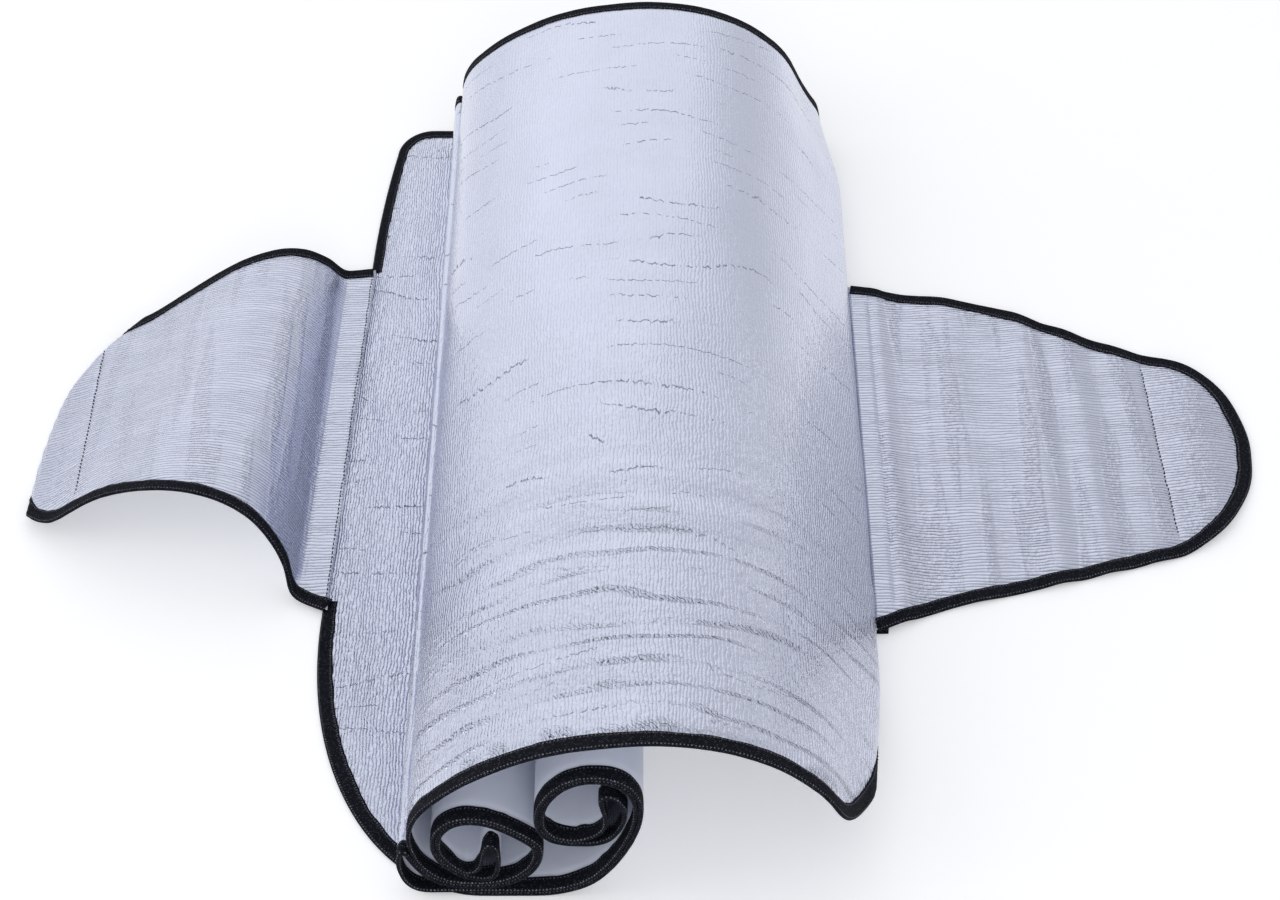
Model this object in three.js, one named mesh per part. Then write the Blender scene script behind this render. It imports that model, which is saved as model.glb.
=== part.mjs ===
// Windscreen sunshade, foil-faced foam sheet with bound edges, folded and rolled on the ground.
// Millimetres, +Z up, the camera side of the object faces -Y. Origin at the middle of the bounding
// box, on the ground. One long sheet is followed from its left seam to its right seam: flat strip,
// right coil, back along the ground, left coil, then the big arch down to the right seam.
import * as THREE from 'three';

// Sheet and binding
const SHEET_T = 2.4;              // thickness of the foam sheet and of its bound edge
const LAYER_GAP = 0.35;           // air between layers lying on each other
const PITCH = SHEET_T + LAYER_GAP;
const PANEL_H = 700;              // the panel's height, which lies along Y
const BINDING_W = 9;              // how far the binding reaches in from the edge
const JOIN_GAP = 0.4;             // air between the binding and the sheet it holds
const SEAM_TAB = 17;              // panel sheet that reaches under each ear
const LEFT_LAP = 3;               // ear sheet that reaches in over the bound edge line
const RIGHT_LAP = -1;             // on the right it stops short of the folded foot
const RIGHT_TAPE_FROM = 5;        // and its binding a little further out
const GROUND = SHEET_T / 2;       // height of the mid surface of a layer on the ground

// Plan of the panel's corners, measured along the sheet and along Y
const LEFT_EDGE_X = -178;         // left bound edge line
const FRONT_CORNER_DEPTH = 193;
const FRONT_LEFT_CORNER = { reach: 100, depth: FRONT_CORNER_DEPTH };
const SEAM_ASKEW = 24;            // the panel is folded askew, its right seam lies nearer the front
const FRONT_RIGHT_CORNER = { reach: 80, depth: FRONT_CORNER_DEPTH - SEAM_ASKEW };
const BACK_CORNER = { reach: 42, radius: 34, taper: 9, taperDepth: 132 };
const SEAM_PAST_CORNER = 18;      // the ear seams start past the front corners
const SEAM_BEFORE_TAPER = 7;      // and end before the back corners' taper
const LEFT_SEAM = {
  front: FRONT_CORNER_DEPTH + SEAM_PAST_CORNER,
  back: PANEL_H - BACK_CORNER.radius - BACK_CORNER.taperDepth - SEAM_BEFORE_TAPER,
};
const RIGHT_SEAM = { front: LEFT_SEAM.front - SEAM_ASKEW, back: LEFT_SEAM.back - SEAM_ASKEW };

// The roll is a little wider and lower at its back end
const BACK_WIDER = 0.10;
const BACK_LOWER = 0.03;
const WIDEN_FULL_X = 125;         // whole widening inside this reach, none at the left edge line
const STRIP_PAST_CORNER = 60;     // how far past the corner the strip on the ground counts as such
// The free front corner of the arch's right foot curls in
const CORNER_CURL_IN = 9;
const CORNER_CURL_DEPTH = 150;
const CORNER_CURL_REACH = 95;
const CORNER_CURL_RAMP = 60;
// and so does its back corner
const BACK_CURL_IN = 11;
const BACK_CURL_DEPTH = 115;

// Facets
const STEP_ANGLE = 15 * Math.PI / 180;
const STEP_MAX = 60;
const DENSE = 0.5;
const PANEL_ACROSS = 2;
const EAR_ACROSS = 4;

// Mid surface seen from the front as [x, z]. The strip on the ground rises into the right coil.
const OUTER_RIGHT = [
  [-195, GROUND], [-178, GROUND], [-140, GROUND], [-100, GROUND], [-70, GROUND], [-52, GROUND],
  [-42, 2.2], [-30, 6.1], [-21.7, 11.7], [-15.7, 18.7], [-10.8, 26.2], [-5.8, 36.1], [-2.1, 45.7],
  [0, 54.4], [0.5, 63], [-1, 71.2], [-4.8, 78.2], [-11.2, 83.2], [-18, 85.3], [-24.8, 85.6],
  [-32.2, 83.7], [-39, 79.4], [-44.5, 73], [-48.1, 66], [-50, 58.7], [-49.8, 51.5],
  [-47.6, 45.7], [-43.4, 41.3], [-37, 39], [-29, 38.4], [-21.4, 38.9], [-15.3, 41.6],
  [-11, 46.8], [-8.2, 53], [-6.9, 58.7],
];
// First fold, inside the right coil
const FOLD_RIGHT = [
  [-7.4, 63.5], [-9.7, 68.5], [-13, 71.6], [-16.6, 71.9], [-18.6, 69], [-18.2, 64],
  [-17, 58.5], [-16.7, 53], [-18.4, 48], [-22.6, 44.2],
];
const RIGHT_RETURN_FROM = -29;    // the returning layer follows the outer one from here
const RIGHT_RETURN_TO = -100;     // as far as here on the ground
// Second fold, the loop at the far left
const FOLD_LEFT = [
  [-107, 4.2], [-112, 6.4], [-115.6, 10.8], [-117.6, 16.5], [-118.4, 22.5], [-118, 28],
  [-116.6, 31.4], [-114.8, 31.2],
];
// The layer that runs right again and winds into the left coil
const OUTER_LEFT = [
  [-113.2, 27.8], [-109.6, 20.8], [-104.2, 14], [-97.4, 9.4], [-89.5, 7], [-80, 6.7],
  [-73, 6.9], [-66, 8.8], [-59.5, 12.4], [-53.6, 17.8], [-49.6, 25], [-48.4, 32], [-49.6, 37.4],
  [-53.9, 42.2], [-59.2, 46.6], [-65.8, 51.2], [-73.4, 55], [-81.8, 56.6], [-89.5, 55.3],
  [-95.6, 51.2], [-99.7, 44.9], [-101.2, 38.3], [-100.4, 31], [-97.2, 24.4], [-92.8, 19.4],
  [-87.4, 15], [-81.8, 12.7],
];
// Third fold, standing up inside the left coil
const FOLD_INNER = [
  [-76.6, 12.3], [-72.3, 13.8], [-70.2, 18], [-69.6, 26.5], [-70.6, 34.2], [-73.1, 37.4],
  [-75.7, 34.2], [-77.3, 26.8], [-79, 20.6], [-82.2, 17.6],
];
const LEFT_RETURN_FROM = -87;
// The arch from its left foot over the top and down to the right seam
const ARCH = [
  [-112.2, 37], [-112.4, 44.5], [-110.4, 52.5], [-105.4, 61.6], [-96, 71.6], [-85.6, 80.4],
  [-74.6, 87.6], [-55.6, 97.6], [-37, 103.8], [-18.4, 107.2], [4.6, 109.2], [27.5, 107.3],
  [46, 102.5], [65, 93.4], [78.6, 83], [92.6, 68.5], [106, 51], [117.2, 35.6], [123.4, 26],
  [124.4, 18], [121.8, 10.4], [119.8, 6.2], [120.4, 2.6], [123.4, GROUND], [126, GROUND],
  [143, GROUND],
];

// Flat plan of each ear, [distance from the bound edge line, Y], front edge, tip and back edge, drawn
// for its seam's ends. It stretches with its seam.
const LEFT_EAR = {
  drawn: { front: 211, back: 527 },
  seam: LEFT_SEAM,
  front: [
    [-12, 203], [-3, 207], [4, 210], [20, 217.5], [44, 227.5], [73, 234.5], [102, 241],
    [131, 247.5], [161, 255.5], [186, 263.5], [209, 281], [225.5, 306], [233, 325], [236.5, 343.5],
  ],
  tip: [238, 364],
  back: [
    [-12, 527.5], [-3, 527], [7.5, 525.5], [35, 519.5], [68, 513], [99, 501], [130, 483],
    [160, 464.5], [190, 448.5], [208, 439], [222, 426], [231, 410], [236, 389],
  ],
};
const RIGHT_EAR = {
  drawn: { front: 187, back: 503 },
  seam: RIGHT_SEAM,
  front: [
    [-12, 177], [-3, 181], [4, 184.5], [20, 193], [44, 204.5], [73, 213.5], [102, 222], [131, 231],
    [161, 241], [186, 250.5], [209, 269.5], [225.5, 296], [233, 315], [236.5, 334],
  ],
  tip: [238, 353],
  back: [
    [-12, 509], [-3, 508.5], [7.5, 507], [35, 501.5], [68, 496], [99, 484.5], [130, 467],
    [160, 449], [190, 434], [208, 425], [222, 412], [231, 396], [236, 375],
  ],
};
const stretch = (ear) => (y) => ear.seam.front
  + (y - ear.drawn.front) * (ear.seam.back - ear.seam.front) / (ear.drawn.back - ear.drawn.front);
const leftY = stretch(LEFT_EAR);

// Left ear, [distance, x, z] along a front guide and a back guide, as it would lie without its fold
const GUIDES_DRAWN = { front: 235, back: 480 };
const GUIDE_FRONT_Y = leftY(GUIDES_DRAWN.front);
const GUIDE_BACK_Y = leftY(GUIDES_DRAWN.back);
const EAR_REST = GROUND + PITCH;  // the ear's strip lies on the panel's tab
const SEAM_LIFT = 0.3;            // and lifts a little at the tab's end
const LEFT_GUIDE_FRONT = [
  [-24, -154, EAR_REST], [0, -178, EAR_REST], [14, -192, EAR_REST + SEAM_LIFT], [19, -195.9, 6.8],
  [33, -200, 20], [48, -207.5, 33], [63, -217, 44], [78, -229.3, 51.6], [93, -243.2, 56],
  [109, -258.5, 57.4], [125, -274, 56], [141, -289, 52], [157, -303, 45.8], [170, -313.6, 38.6],
  [183, -323, 30], [195, -331, 21.4], [207, -339.5, 13.6], [214, -345.3, 10.4], [220, -350.6, 8.4],
  [230, -360, 6], [242, -371.5, 4],
];
const LEFT_GUIDE_BACK = [
  [-24, -154, EAR_REST], [0, -178, EAR_REST], [14, -192, EAR_REST + SEAM_LIFT], [19, -196.2, 6.4],
  [33, -204, 17.6], [48, -215, 26.6], [63, -227.6, 31.2], [78, -241.8, 31.8], [93, -256.4, 29.8],
  [109, -271.8, 25.2], [125, -287, 19.4], [141, -302, 13.2], [150, -310.6, 9.8], [158, -318.4, 7.6],
  [170, -330.2, 5.4], [183, -343, 4.2], [199, -358.8, 3.6], [208, -367.6, 3.4], [220, -379.4, 3.2],
  [242, -401, 3],
];
// Where the left ear's tip turns under, [Y, distance]
const LEFT_FOLD = [
  [190, 224], [285, 219], [345, 211], [390, 200], [425, 183], [469, 154], [520, 118], [560, 90],
];
// Right ear, [distance, height] with soft waves across it
const RIGHT_EDGE_X = 126;
const RIGHT_EAR_HEIGHT = [
  [-24, EAR_REST], [0, EAR_REST], [16, EAR_REST], [24, 3.6], [34, 1.6], [46, 1.8], [62, 3.2],
  [78, 1.4], [96, 2.4], [110, 4.8], [124, 1.8], [138, 4.2], [152, 1.6], [168, 3.4],
  [184, 1.5], [197, 5.2], [210, 6.6], [222, 3.8], [232, 1.5], [240, GROUND],
];
const EAR_STEP = 12;
const EAR_CURL_FROM = 150;        // the left ear's tip turns under past this
const EAR_CURL_STEP = 2;
const EAR_JOIN_GAP = 0.9;         // more air where the tip turns under
const EAR_OVERRUN = 4;            // the left ear's binding runs on over the panel's binding

const FOIL = new THREE.MeshStandardMaterial({ name: 'foil_fabric', color: 0xc4c8d6, metalness: 0.55, roughness: 0.42 });
const TAPE = new THREE.MeshStandardMaterial({ name: 'binding_fabric', color: 0x15161f, metalness: 0, roughness: 0.85 });

const lerp = (a, b, t) => a + (b - a) * t;
const clamp = (v, lo, hi) => Math.min(Math.max(v, lo), hi);
const smooth = (t) => { const c = clamp(t, 0, 1); return c * c * (3 - 2 * c); };

// Smooth curve through points, sampled densely. Works for points of any length.
function throughPoints(points) {
  const n = points.length;
  const dist = (a, b) => Math.sqrt(a.reduce((s, v, i) => s + (v - b[i]) ** 2, 0));
  const mirror = (a, b) => a.map((v, i) => 2 * v - b[i]);
  const pts = [mirror(points[0], points[1]), ...points, mirror(points[n - 1], points[n - 2])];
  const out = [];
  for (let i = 1; i < n; i += 1) {
    const [p0, p1, p2, p3] = [pts[i - 1], pts[i], pts[i + 1], pts[i + 2]];
    const t1 = Math.sqrt(dist(p0, p1));
    const t2 = t1 + Math.sqrt(dist(p1, p2));
    const t3 = t2 + Math.sqrt(dist(p2, p3));
    const steps = Math.max(2, Math.ceil(dist(p1, p2) / DENSE));
    for (let k = 0; k < steps; k += 1) {
      const t = t1 + (t2 - t1) * k / steps;
      out.push(p0.map((v, d) => {
        const a1 = ((t1 - t) * v + t * p1[d]) / t1;
        const a2 = ((t2 - t) * p1[d] + (t - t1) * p2[d]) / (t2 - t1);
        const a3 = ((t3 - t) * p2[d] + (t - t2) * p3[d]) / (t3 - t2);
        const b1 = ((t2 - t) * a1 + t * a2) / t2;
        const b2 = ((t3 - t) * a2 + (t - t1) * a3) / (t3 - t1);
        return ((t2 - t) * b1 + (t - t1) * b2) / (t2 - t1);
      }));
    }
  }
  out.push([...points[n - 1]]);
  return out;
}

// The line beside a curve, on its left hand, run backwards
function returnLayer(curve, distance) {
  const out = curve.map((p, i) => {
    const a = curve[Math.max(0, i - 3)];
    const b = curve[Math.min(curve.length - 1, i + 3)];
    const len = Math.hypot(b[0] - a[0], b[1] - a[1]);
    return [p[0] - distance * (b[1] - a[1]) / len, p[1] + distance * (b[0] - a[0]) / len];
  });
  return out.reverse();
}

const nearest = (curve, test) => curve.findIndex(test);
const thin = (curve, step) => curve.filter((p, i) => i % step === 0);

// Whole section line of the folded panel
function panelSection() {
  const right = throughPoints(OUTER_RIGHT);
  const rightTurn = right.length - 1 - nearest([...right].reverse(), (p) => p[0] < RIGHT_RETURN_FROM);
  const backR = returnLayer(right.slice(0, rightTurn), PITCH).filter((p) => p[1] > GROUND + 2 * PITCH || p[0] > RIGHT_RETURN_TO);
  const left = throughPoints(OUTER_LEFT);
  const leftTurn = left.length - 1 - nearest([...left].reverse(), (p) => p[0] < LEFT_RETURN_FROM);
  const backL = returnLayer(left.slice(0, leftTurn), PITCH);
  const knots = [
    ...thin(right, 8), ...FOLD_RIGHT, ...thin(backR, 8), ...FOLD_LEFT,
    ...thin(left, 8), ...FOLD_INNER, ...thin(backL.slice(0, -4), 8), ...ARCH,
  ];
  const spaced = knots.filter((p, i) => i === 0 || Math.hypot(p[0] - knots[i - 1][0], p[1] - knots[i - 1][1]) > 0.8);
  return throughPoints(spaced);
}

// A curve read by its own length
class Track {
  constructor(points, start, dims) {
    this.points = points;
    this.dims = dims;
    this.at = [start];
    for (let i = 1; i < points.length; i += 1) {
      const [a, b] = [points[i - 1], points[i]];
      this.at.push(this.at[i - 1] + Math.hypot(...dims.map((d) => b[d] - a[d])));
    }
    this.end = this.at[this.at.length - 1];
  }

  read(s) {
    const c = clamp(s, this.at[0], this.end);
    let lo = 0;
    let hi = this.at.length - 1;
    while (hi - lo > 1) {
      const mid = (lo + hi) >> 1;
      if (this.at[mid] > c) hi = mid; else lo = mid;
    }
    const t = (c - this.at[lo]) / (this.at[hi] - this.at[lo] || 1);
    return this.points[lo].map((v, d) => lerp(v, this.points[hi][d], t));
  }

  heading(s) {
    const [a, b] = [this.read(s - 0.8), this.read(s + 0.8)];
    return Math.atan2(b[this.dims[1]] - a[this.dims[1]], b[this.dims[0]] - a[this.dims[0]]);
  }

  // Stations close together where the curve turns
  stations(from, to, always = []) {
    const out = [from];
    let turned = 0;
    let last = this.heading(from);
    for (let s = from + DENSE; s < to; s += DENSE) {
      const now = this.heading(s);
      let d = now - last;
      if (d > Math.PI) d -= 2 * Math.PI;
      if (d < -Math.PI) d += 2 * Math.PI;
      turned += Math.abs(d);
      last = now;
      if (turned > STEP_ANGLE || s - out[out.length - 1] > STEP_MAX) {
        out.push(s);
        turned = 0;
      }
    }
    out.push(to);
    const all = [...out, ...always].filter((s) => s >= from && s <= to).sort((a, b) => a - b);
    return all.filter((s, i) => i === 0 || s - all[i - 1] > 0.3);
  }
}

const SECTION = new Track(panelSection(), -SEAM_TAB, [0, 1]);
const PANEL_W = SECTION.end - SEAM_TAB;   // from bound edge line to bound edge line
const FACETS = SECTION.stations(0, PANEL_W);
const facets = (from, to) => [from, ...FACETS.filter((s) => s > from + 0.6 && s < to - 0.6), to];

// A point of the panel from its flat place and its height over the mid surface
function panelPoint(u, v, w) {
  const [x, line] = SECTION.read(u);
  const z = Math.max(GROUND, line);
  const h = SECTION.heading(u);
  const px = x - w * Math.sin(h);
  const pz = Math.max(0, z + w * Math.cos(h));
  const t = v / PANEL_H;
  const onStrip = u < FRONT_LEFT_CORNER.reach + STRIP_PAST_CORNER;
  const share = onStrip ? clamp((px - LEFT_EDGE_X) / (-WIDEN_FULL_X - LEFT_EDGE_X), 0, 1) : 1;
  const atFoot = smooth((u - (PANEL_W - CORNER_CURL_REACH)) / CORNER_CURL_RAMP);
  const curl = atFoot * smooth(1 - v / CORNER_CURL_DEPTH);
  const curlBack = atFoot * smooth(1 - (PANEL_H - v) / BACK_CURL_DEPTH);
  return [
    px * (1 + BACK_WIDER * t * share) - CORNER_CURL_IN * curl - BACK_CURL_IN * curlBack,
    v,
    pz * (1 - BACK_LOWER * t),
  ];
}

// Plan of the panel: front and back edge for a place along the sheet
function panelFront(u) {
  const c = u < PANEL_W / 2 ? FRONT_LEFT_CORNER : FRONT_RIGHT_CORNER;
  const r = clamp(1 - (u < PANEL_W / 2 ? u : PANEL_W - u) / c.reach, 0, 1);
  return c.depth * (1 - Math.sqrt(1 - r * r));
}
function panelBack(u) {
  const d = Math.max(0, u < PANEL_W / 2 ? u : PANEL_W - u);
  const c = BACK_CORNER;
  const side = PANEL_H - c.radius - c.taperDepth;
  if (d < c.taper) return side + c.taperDepth * Math.sqrt(d / c.taper);
  const r = clamp(1 - (d - c.taper) / (c.reach - c.taper), 0, 1);
  return PANEL_H - c.radius * (1 - Math.sqrt(1 - r * r));
}

// Edge of the panel as a flat line of [u, v], from the left seam to the right seam
function panelEdge(front) {
  const line = [];
  const [left, right] = [LEFT_SEAM, RIGHT_SEAM].map((seam) => (front ? seam.front : seam.back) - 1);
  line.push([0, left]);
  const reachL = front ? FRONT_LEFT_CORNER.reach : BACK_CORNER.reach;
  const reachR = front ? FRONT_RIGHT_CORNER.reach : BACK_CORNER.reach;
  const edge = front ? panelFront : panelBack;
  const corner = [];
  for (let i = 0; i <= 10; i += 1) corner.push(1 - Math.cos(Math.PI / 2 * i / 10));
  const flat = facets(reachL, PANEL_W - reachR);
  for (const c of corner.slice(0, -1)) line.push([reachL * c, edge(reachL * c)]);
  for (const s of flat) line.push([s, edge(s)]);
  const onWall = [...FACETS.filter((s) => s > PANEL_W - reachR), ...corner.map((c) => PANEL_W - reachR * c)];
  for (const s of onWall.sort((a, b) => a - b)) line.push([s, edge(s)]);
  line.push([PANEL_W, right]);
  return line.filter((p, i) => i === 0 || Math.hypot(p[0] - line[i - 1][0], p[1] - line[i - 1][1]) > 0.4);
}

// Flat line moved inwards by a width, on its left hand or right hand
function inset(line, width, hand) {
  return line.map((p, i) => {
    const a = line[Math.max(0, i - 1)];
    const b = line[Math.min(line.length - 1, i + 1)];
    const before = i > 0 ? unit(p[0] - a[0], p[1] - a[1]) : unit(b[0] - p[0], b[1] - p[1]);
    const after = i < line.length - 1 ? unit(b[0] - p[0], b[1] - p[1]) : before;
    const t = unit(before[0] + after[0], before[1] + after[1]);
    const stretch = 1 / Math.max(0.7, t[0] * before[0] + t[1] * before[1]);
    return [p[0] - hand * t[1] * width * stretch, p[1] + hand * t[0] * width * stretch];
  });
}
function unit(x, y) {
  const l = Math.hypot(x, y) || 1;
  return [x / l, y / l];
}

// Closed mesh from rings of points, all the same count, capped at both ends
function skin(name, rings, material) {
  const count = rings[0].length;
  const verts = rings.flat();
  const tris = [];
  for (let i = 0; i + 1 < rings.length; i += 1) {
    for (let j = 0; j < count; j += 1) {
      const a = i * count + j;
      const b = i * count + (j + 1) % count;
      tris.push([a, b, b + count], [a, b + count, a + count]);
    }
  }
  const cap = (base, flip) => {
    for (let j = 0; j < count / 2 - 1; j += 1) {
      const quad = [base + j, base + j + 1, base + count - 2 - j, base + count - 1 - j];
      const two = [[quad[0], quad[2], quad[1]], [quad[0], quad[3], quad[2]]];
      for (const t of two) tris.push(flip ? [t[0], t[2], t[1]] : t);
    }
  };
  cap(0, false);
  cap((rings.length - 1) * count, true);
  let volume = 0;
  for (const [a, b, c] of tris) {
    const [p, q, r] = [verts[a], verts[b], verts[c]];
    volume += p[0] * (q[1] * r[2] - q[2] * r[1]) - p[1] * (q[0] * r[2] - q[2] * r[0]) + p[2] * (q[0] * r[1] - q[1] * r[0]);
  }
  const order = volume > 0 ? tris : tris.map(([a, b, c]) => [a, c, b]);
  const geometry = new THREE.BufferGeometry();
  geometry.setAttribute('position', new THREE.Float32BufferAttribute(verts.flat(), 3));
  geometry.setIndex(order.flat());
  geometry.computeVertexNormals();
  const mesh = new THREE.Mesh(geometry, material);
  mesh.name = name;
  return mesh;
}

// Ring across a strip from its flat points, over the top and back underneath
function stripRing(flat, place, half) {
  const top = flat.map(([u, v]) => place(u, v, half));
  const under = [...flat].reverse().map(([u, v]) => place(u, v, -half));
  return [...top, ...under];
}

const HALF = SHEET_T / 2;

// Evenly spaced flat points from the outer to the inner edge of a binding
function across([a, b], parts) {
  return Array.from({ length: parts + 1 }, (_, i) => [lerp(a[0], b[0], i / parts), lerp(a[1], b[1], i / parts)]);
}

function panelSheet() {
  const margin = BINDING_W + JOIN_GAP;
  const front = inset(panelEdge(true), margin, 1);
  const back = inset(panelEdge(false), margin, -1);
  const table = (line) => {
    const sorted = [...line].sort((a, b) => a[0] - b[0]);
    return (u) => {
      if (u <= sorted[0][0]) return sorted[0][1];
      const i = sorted.findIndex((p) => p[0] > u);
      if (i < 0) return sorted[sorted.length - 1][1];
      const [a, b] = [sorted[i - 1], sorted[i]];
      return lerp(a[1], b[1], (u - a[0]) / (b[0] - a[0] || 1));
    };
  };
  const [vFront, vBack] = [table(front), table(back)];
  const first = margin;
  const last = PANEL_W - margin;
  const tab = (seam) => [seam.front + BINDING_W + 2 * JOIN_GAP, seam.back - BINDING_W - 2 * JOIN_GAP];
  const marks = [first, last, ...[...front, ...back].map((p) => p[0]).filter((u) => u > first + 0.5 && u < last - 0.5)];
  const inner = marks.sort((a, b) => a - b).filter((u, i) => i === 0 || u - marks[i - 1] > 0.3);
  const rings = [];
  const section = (u, a, b) => {
    const near = Math.max(a + 1, CORNER_CURL_DEPTH);
    const far = Math.max(near + 1, Math.min(b - 1, PANEL_H - BACK_CURL_DEPTH));
    const stops = [a, lerp(a, Math.max(a, CORNER_CURL_DEPTH / 2), 0.5), near, far, lerp(far, b, 0.5), b];
    return stripRing(stops.map((v) => [u, v]), panelPoint, HALF);
  };
  for (const u of SECTION.stations(-SEAM_TAB, first - 0.4)) rings.push(section(u, ...tab(LEFT_SEAM)));
  for (const u of inner) rings.push(section(u, vFront(u), vBack(u)));
  for (const u of SECTION.stations(last + 0.4, PANEL_W + SEAM_TAB)) rings.push(section(u, ...tab(RIGHT_SEAM)));
  return skin('main_panel', rings, FOIL);
}

function panelBinding(name, front) {
  const outer = panelEdge(front);
  const inner = inset(outer, BINDING_W, front ? 1 : -1);
  const rings = outer.map((p, i) => stripRing(across([p, inner[i]], PANEL_ACROSS), panelPoint, HALF));
  return skin(name, rings, TAPE);
}

// Ears
function tableOf(rows, column) {
  const curve = throughPoints(rows);
  return (s) => {
    if (s <= curve[0][0]) return curve[0][column];
    let lo = 0;
    let hi = curve.length - 1;
    while (hi - lo > 1) {
      const mid = (lo + hi) >> 1;
      if (curve[mid][0] > s) hi = mid; else lo = mid;
    }
    return lerp(curve[lo][column], curve[hi][column], clamp((s - curve[lo][0]) / (curve[hi][0] - curve[lo][0] || 1), 0, 1));
  };
}

const widened = (x, y) => x * (1 + BACK_WIDER * y / PANEL_H);

const LEFT_TRACKS = {
  frontX: tableOf(LEFT_GUIDE_FRONT, 1), frontZ: tableOf(LEFT_GUIDE_FRONT, 2),
  backX: tableOf(LEFT_GUIDE_BACK, 1), backZ: tableOf(LEFT_GUIDE_BACK, 2),
};
const LEFT_FOLD_AT = tableOf(LEFT_FOLD.map(([y, s]) => [leftY(y), s]), 1);
function leftBase(s, v) {
  const t = (v - GUIDE_FRONT_Y) / (GUIDE_BACK_Y - GUIDE_FRONT_Y);
  const T = LEFT_TRACKS;
  return [lerp(T.frontX(s), T.backX(s), t), Math.max(GROUND, lerp(T.frontZ(s), T.backZ(s), t))];
}
// The ear up to its fold, then round the fold and back along the ground under itself
function leftMid(s, v) {
  const fold = LEFT_FOLD_AT(v);
  const past = s - fold;
  if (past <= 0) return [leftBase(s, v)[0], v, leftBase(s, v)[1]];
  const [x0, z0] = leftBase(fold - EAR_CURL_STEP, v);
  const [x, z] = leftBase(fold, v);
  const slope = Math.max(0, Math.atan2(z0 - z, x0 - x));
  const radius = Math.max(0.5, (z - GROUND) / (1 + Math.cos(slope)));
  const whole = Math.PI - slope;
  const turned = slope + Math.min(past / radius, whole);
  const under = Math.max(0, past - radius * whole);
  const out = radius * (Math.sin(turned) - Math.sin(slope));
  return [x - out + under, v, Math.max(GROUND, z - radius * (Math.cos(slope) - Math.cos(turned)))];
}
const RIGHT_HEIGHT = tableOf(RIGHT_EAR_HEIGHT, 1);
function rightMid(s, v) {
  return [widened(RIGHT_EDGE_X, v) + s, v, Math.max(GROUND, RIGHT_HEIGHT(s))];
}

// Moves a mid surface point out along its normal
function offPoint(mid, up) {
  return (s, v, w) => {
    const e = 0.6;
    const [a, b] = [mid(s - e, v), mid(s + e, v)];
    const [c, d] = [mid(s, v - e), mid(s, v + e)];
    const ds = [b[0] - a[0], b[1] - a[1], b[2] - a[2]];
    const dv = [d[0] - c[0], d[1] - c[1], d[2] - c[2]];
    const n = [ds[1] * dv[2] - ds[2] * dv[1], ds[2] * dv[0] - ds[0] * dv[2], ds[0] * dv[1] - ds[1] * dv[0]];
    const len = Math.hypot(...n) * up;
    const p = mid(s, v);
    return [p[0] + w * n[0] / len, p[1] + w * n[1] / len, p[2] + w * n[2] / len];
  };
}

function earOutline(ear, curls) {
  const drawn = [...ear.front, ear.tip, ...[...ear.back].reverse()];
  const y = stretch(ear);
  const whole = throughPoints(drawn.map(([s, v]) => [s, y(v)]));
  const track = new Track(whole, 0, [0, 1]);
  const stops = [];
  for (let s = 0; s < track.end; s += EAR_STEP) stops.push(s);
  const curled = (s) => curls && track.read(s)[0] > EAR_CURL_FROM;
  const fine = [];
  for (let s = 0; s < track.end; s += EAR_CURL_STEP) if (curled(s)) fine.push(s);
  const coarse = track.stations(0, track.end, stops).filter((s) => !curled(s));
  const line = [...coarse, ...fine].sort((a, b) => a - b).map((s) => track.read(s));
  return line.filter((p, i) => i === 0 || Math.hypot(p[0] - line[i - 1][0], p[1] - line[i - 1][1]) > EAR_CURL_STEP * 0.7);
}

function earParts(side, ear, place, from, lap) {
  const curls = side === 'left';
  const outline = earOutline(ear, curls);
  const inner = inset(outline, BINDING_W, 1);
  const bound = outline.map((p, i) => [p, inner[i]]).filter(([p]) => p[0] >= from);
  const binding = skin(`${side}_ear_binding`, bound.map((pair) => stripRing(across(pair, EAR_ACROSS), place, HALF)), TAPE);

  const edge = inset(outline, BINDING_W + EAR_JOIN_GAP, 1);
  const tip = edge.reduce((best, p, i) => (p[0] > edge[best][0] ? i : best), 0);
  const [near, far] = [edge.slice(0, tip + 1), edge.slice(tip).reverse()];
  const cross = (line, s) => {
    const i = line.findIndex((p) => p[0] > s);
    if (i < 1) return line[line.length - 1][1];
    const [a, b] = [line[i - 1], line[i]];
    return lerp(a[1], b[1], (s - a[0]) / (b[0] - a[0] || 1));
  };
  const end = edge[tip][0] - 0.8;
  const marks = [...near, ...far].map((p) => p[0]).filter((s) => s > -lap + 1 && s < end - 0.5);
  for (let s = -lap; s < end - 8; s += EAR_STEP) marks.push(s);
  for (let s = EAR_CURL_FROM; curls && s < end - 2; s += EAR_CURL_STEP) marks.push(s);
  marks.push(end - 4, end - 1.5, end);
  marks.sort((a, b) => a - b);
  const stations = marks.filter((s, i) => i === 0 || s - marks[i - 1] > 0.6);
  const rings = stations.map((s) => {
    const [a, b] = [cross(near, s), cross(far, s)];
    const low = Math.min(a, b - 0.6);
    return stripRing([[s, low], [s, lerp(low, b, 0.5)], [s, b]], place, HALF);
  });
  return [skin(`${side}_ear`, rings, FOIL), binding];
}

// The object's middle, taken off so the origin sits under it
const MIDDLE_X = 5.38;
const MIDDLE_Y = PANEL_H / 2;

const shade = new THREE.Group();
shade.name = 'windscreen_sunshade';
const pieces = [
  panelSheet(),
  panelBinding('front_binding', true),
  panelBinding('back_binding', false),
  ...earParts('left', LEFT_EAR, offPoint(leftMid, -1), -EAR_OVERRUN, LEFT_LAP),
  ...earParts('right', RIGHT_EAR, offPoint(rightMid, 1), RIGHT_TAPE_FROM, RIGHT_LAP),
];
for (const piece of pieces) {
  piece.geometry.translate(-MIDDLE_X, -MIDDLE_Y, 0);
  shade.add(piece);
}

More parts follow.
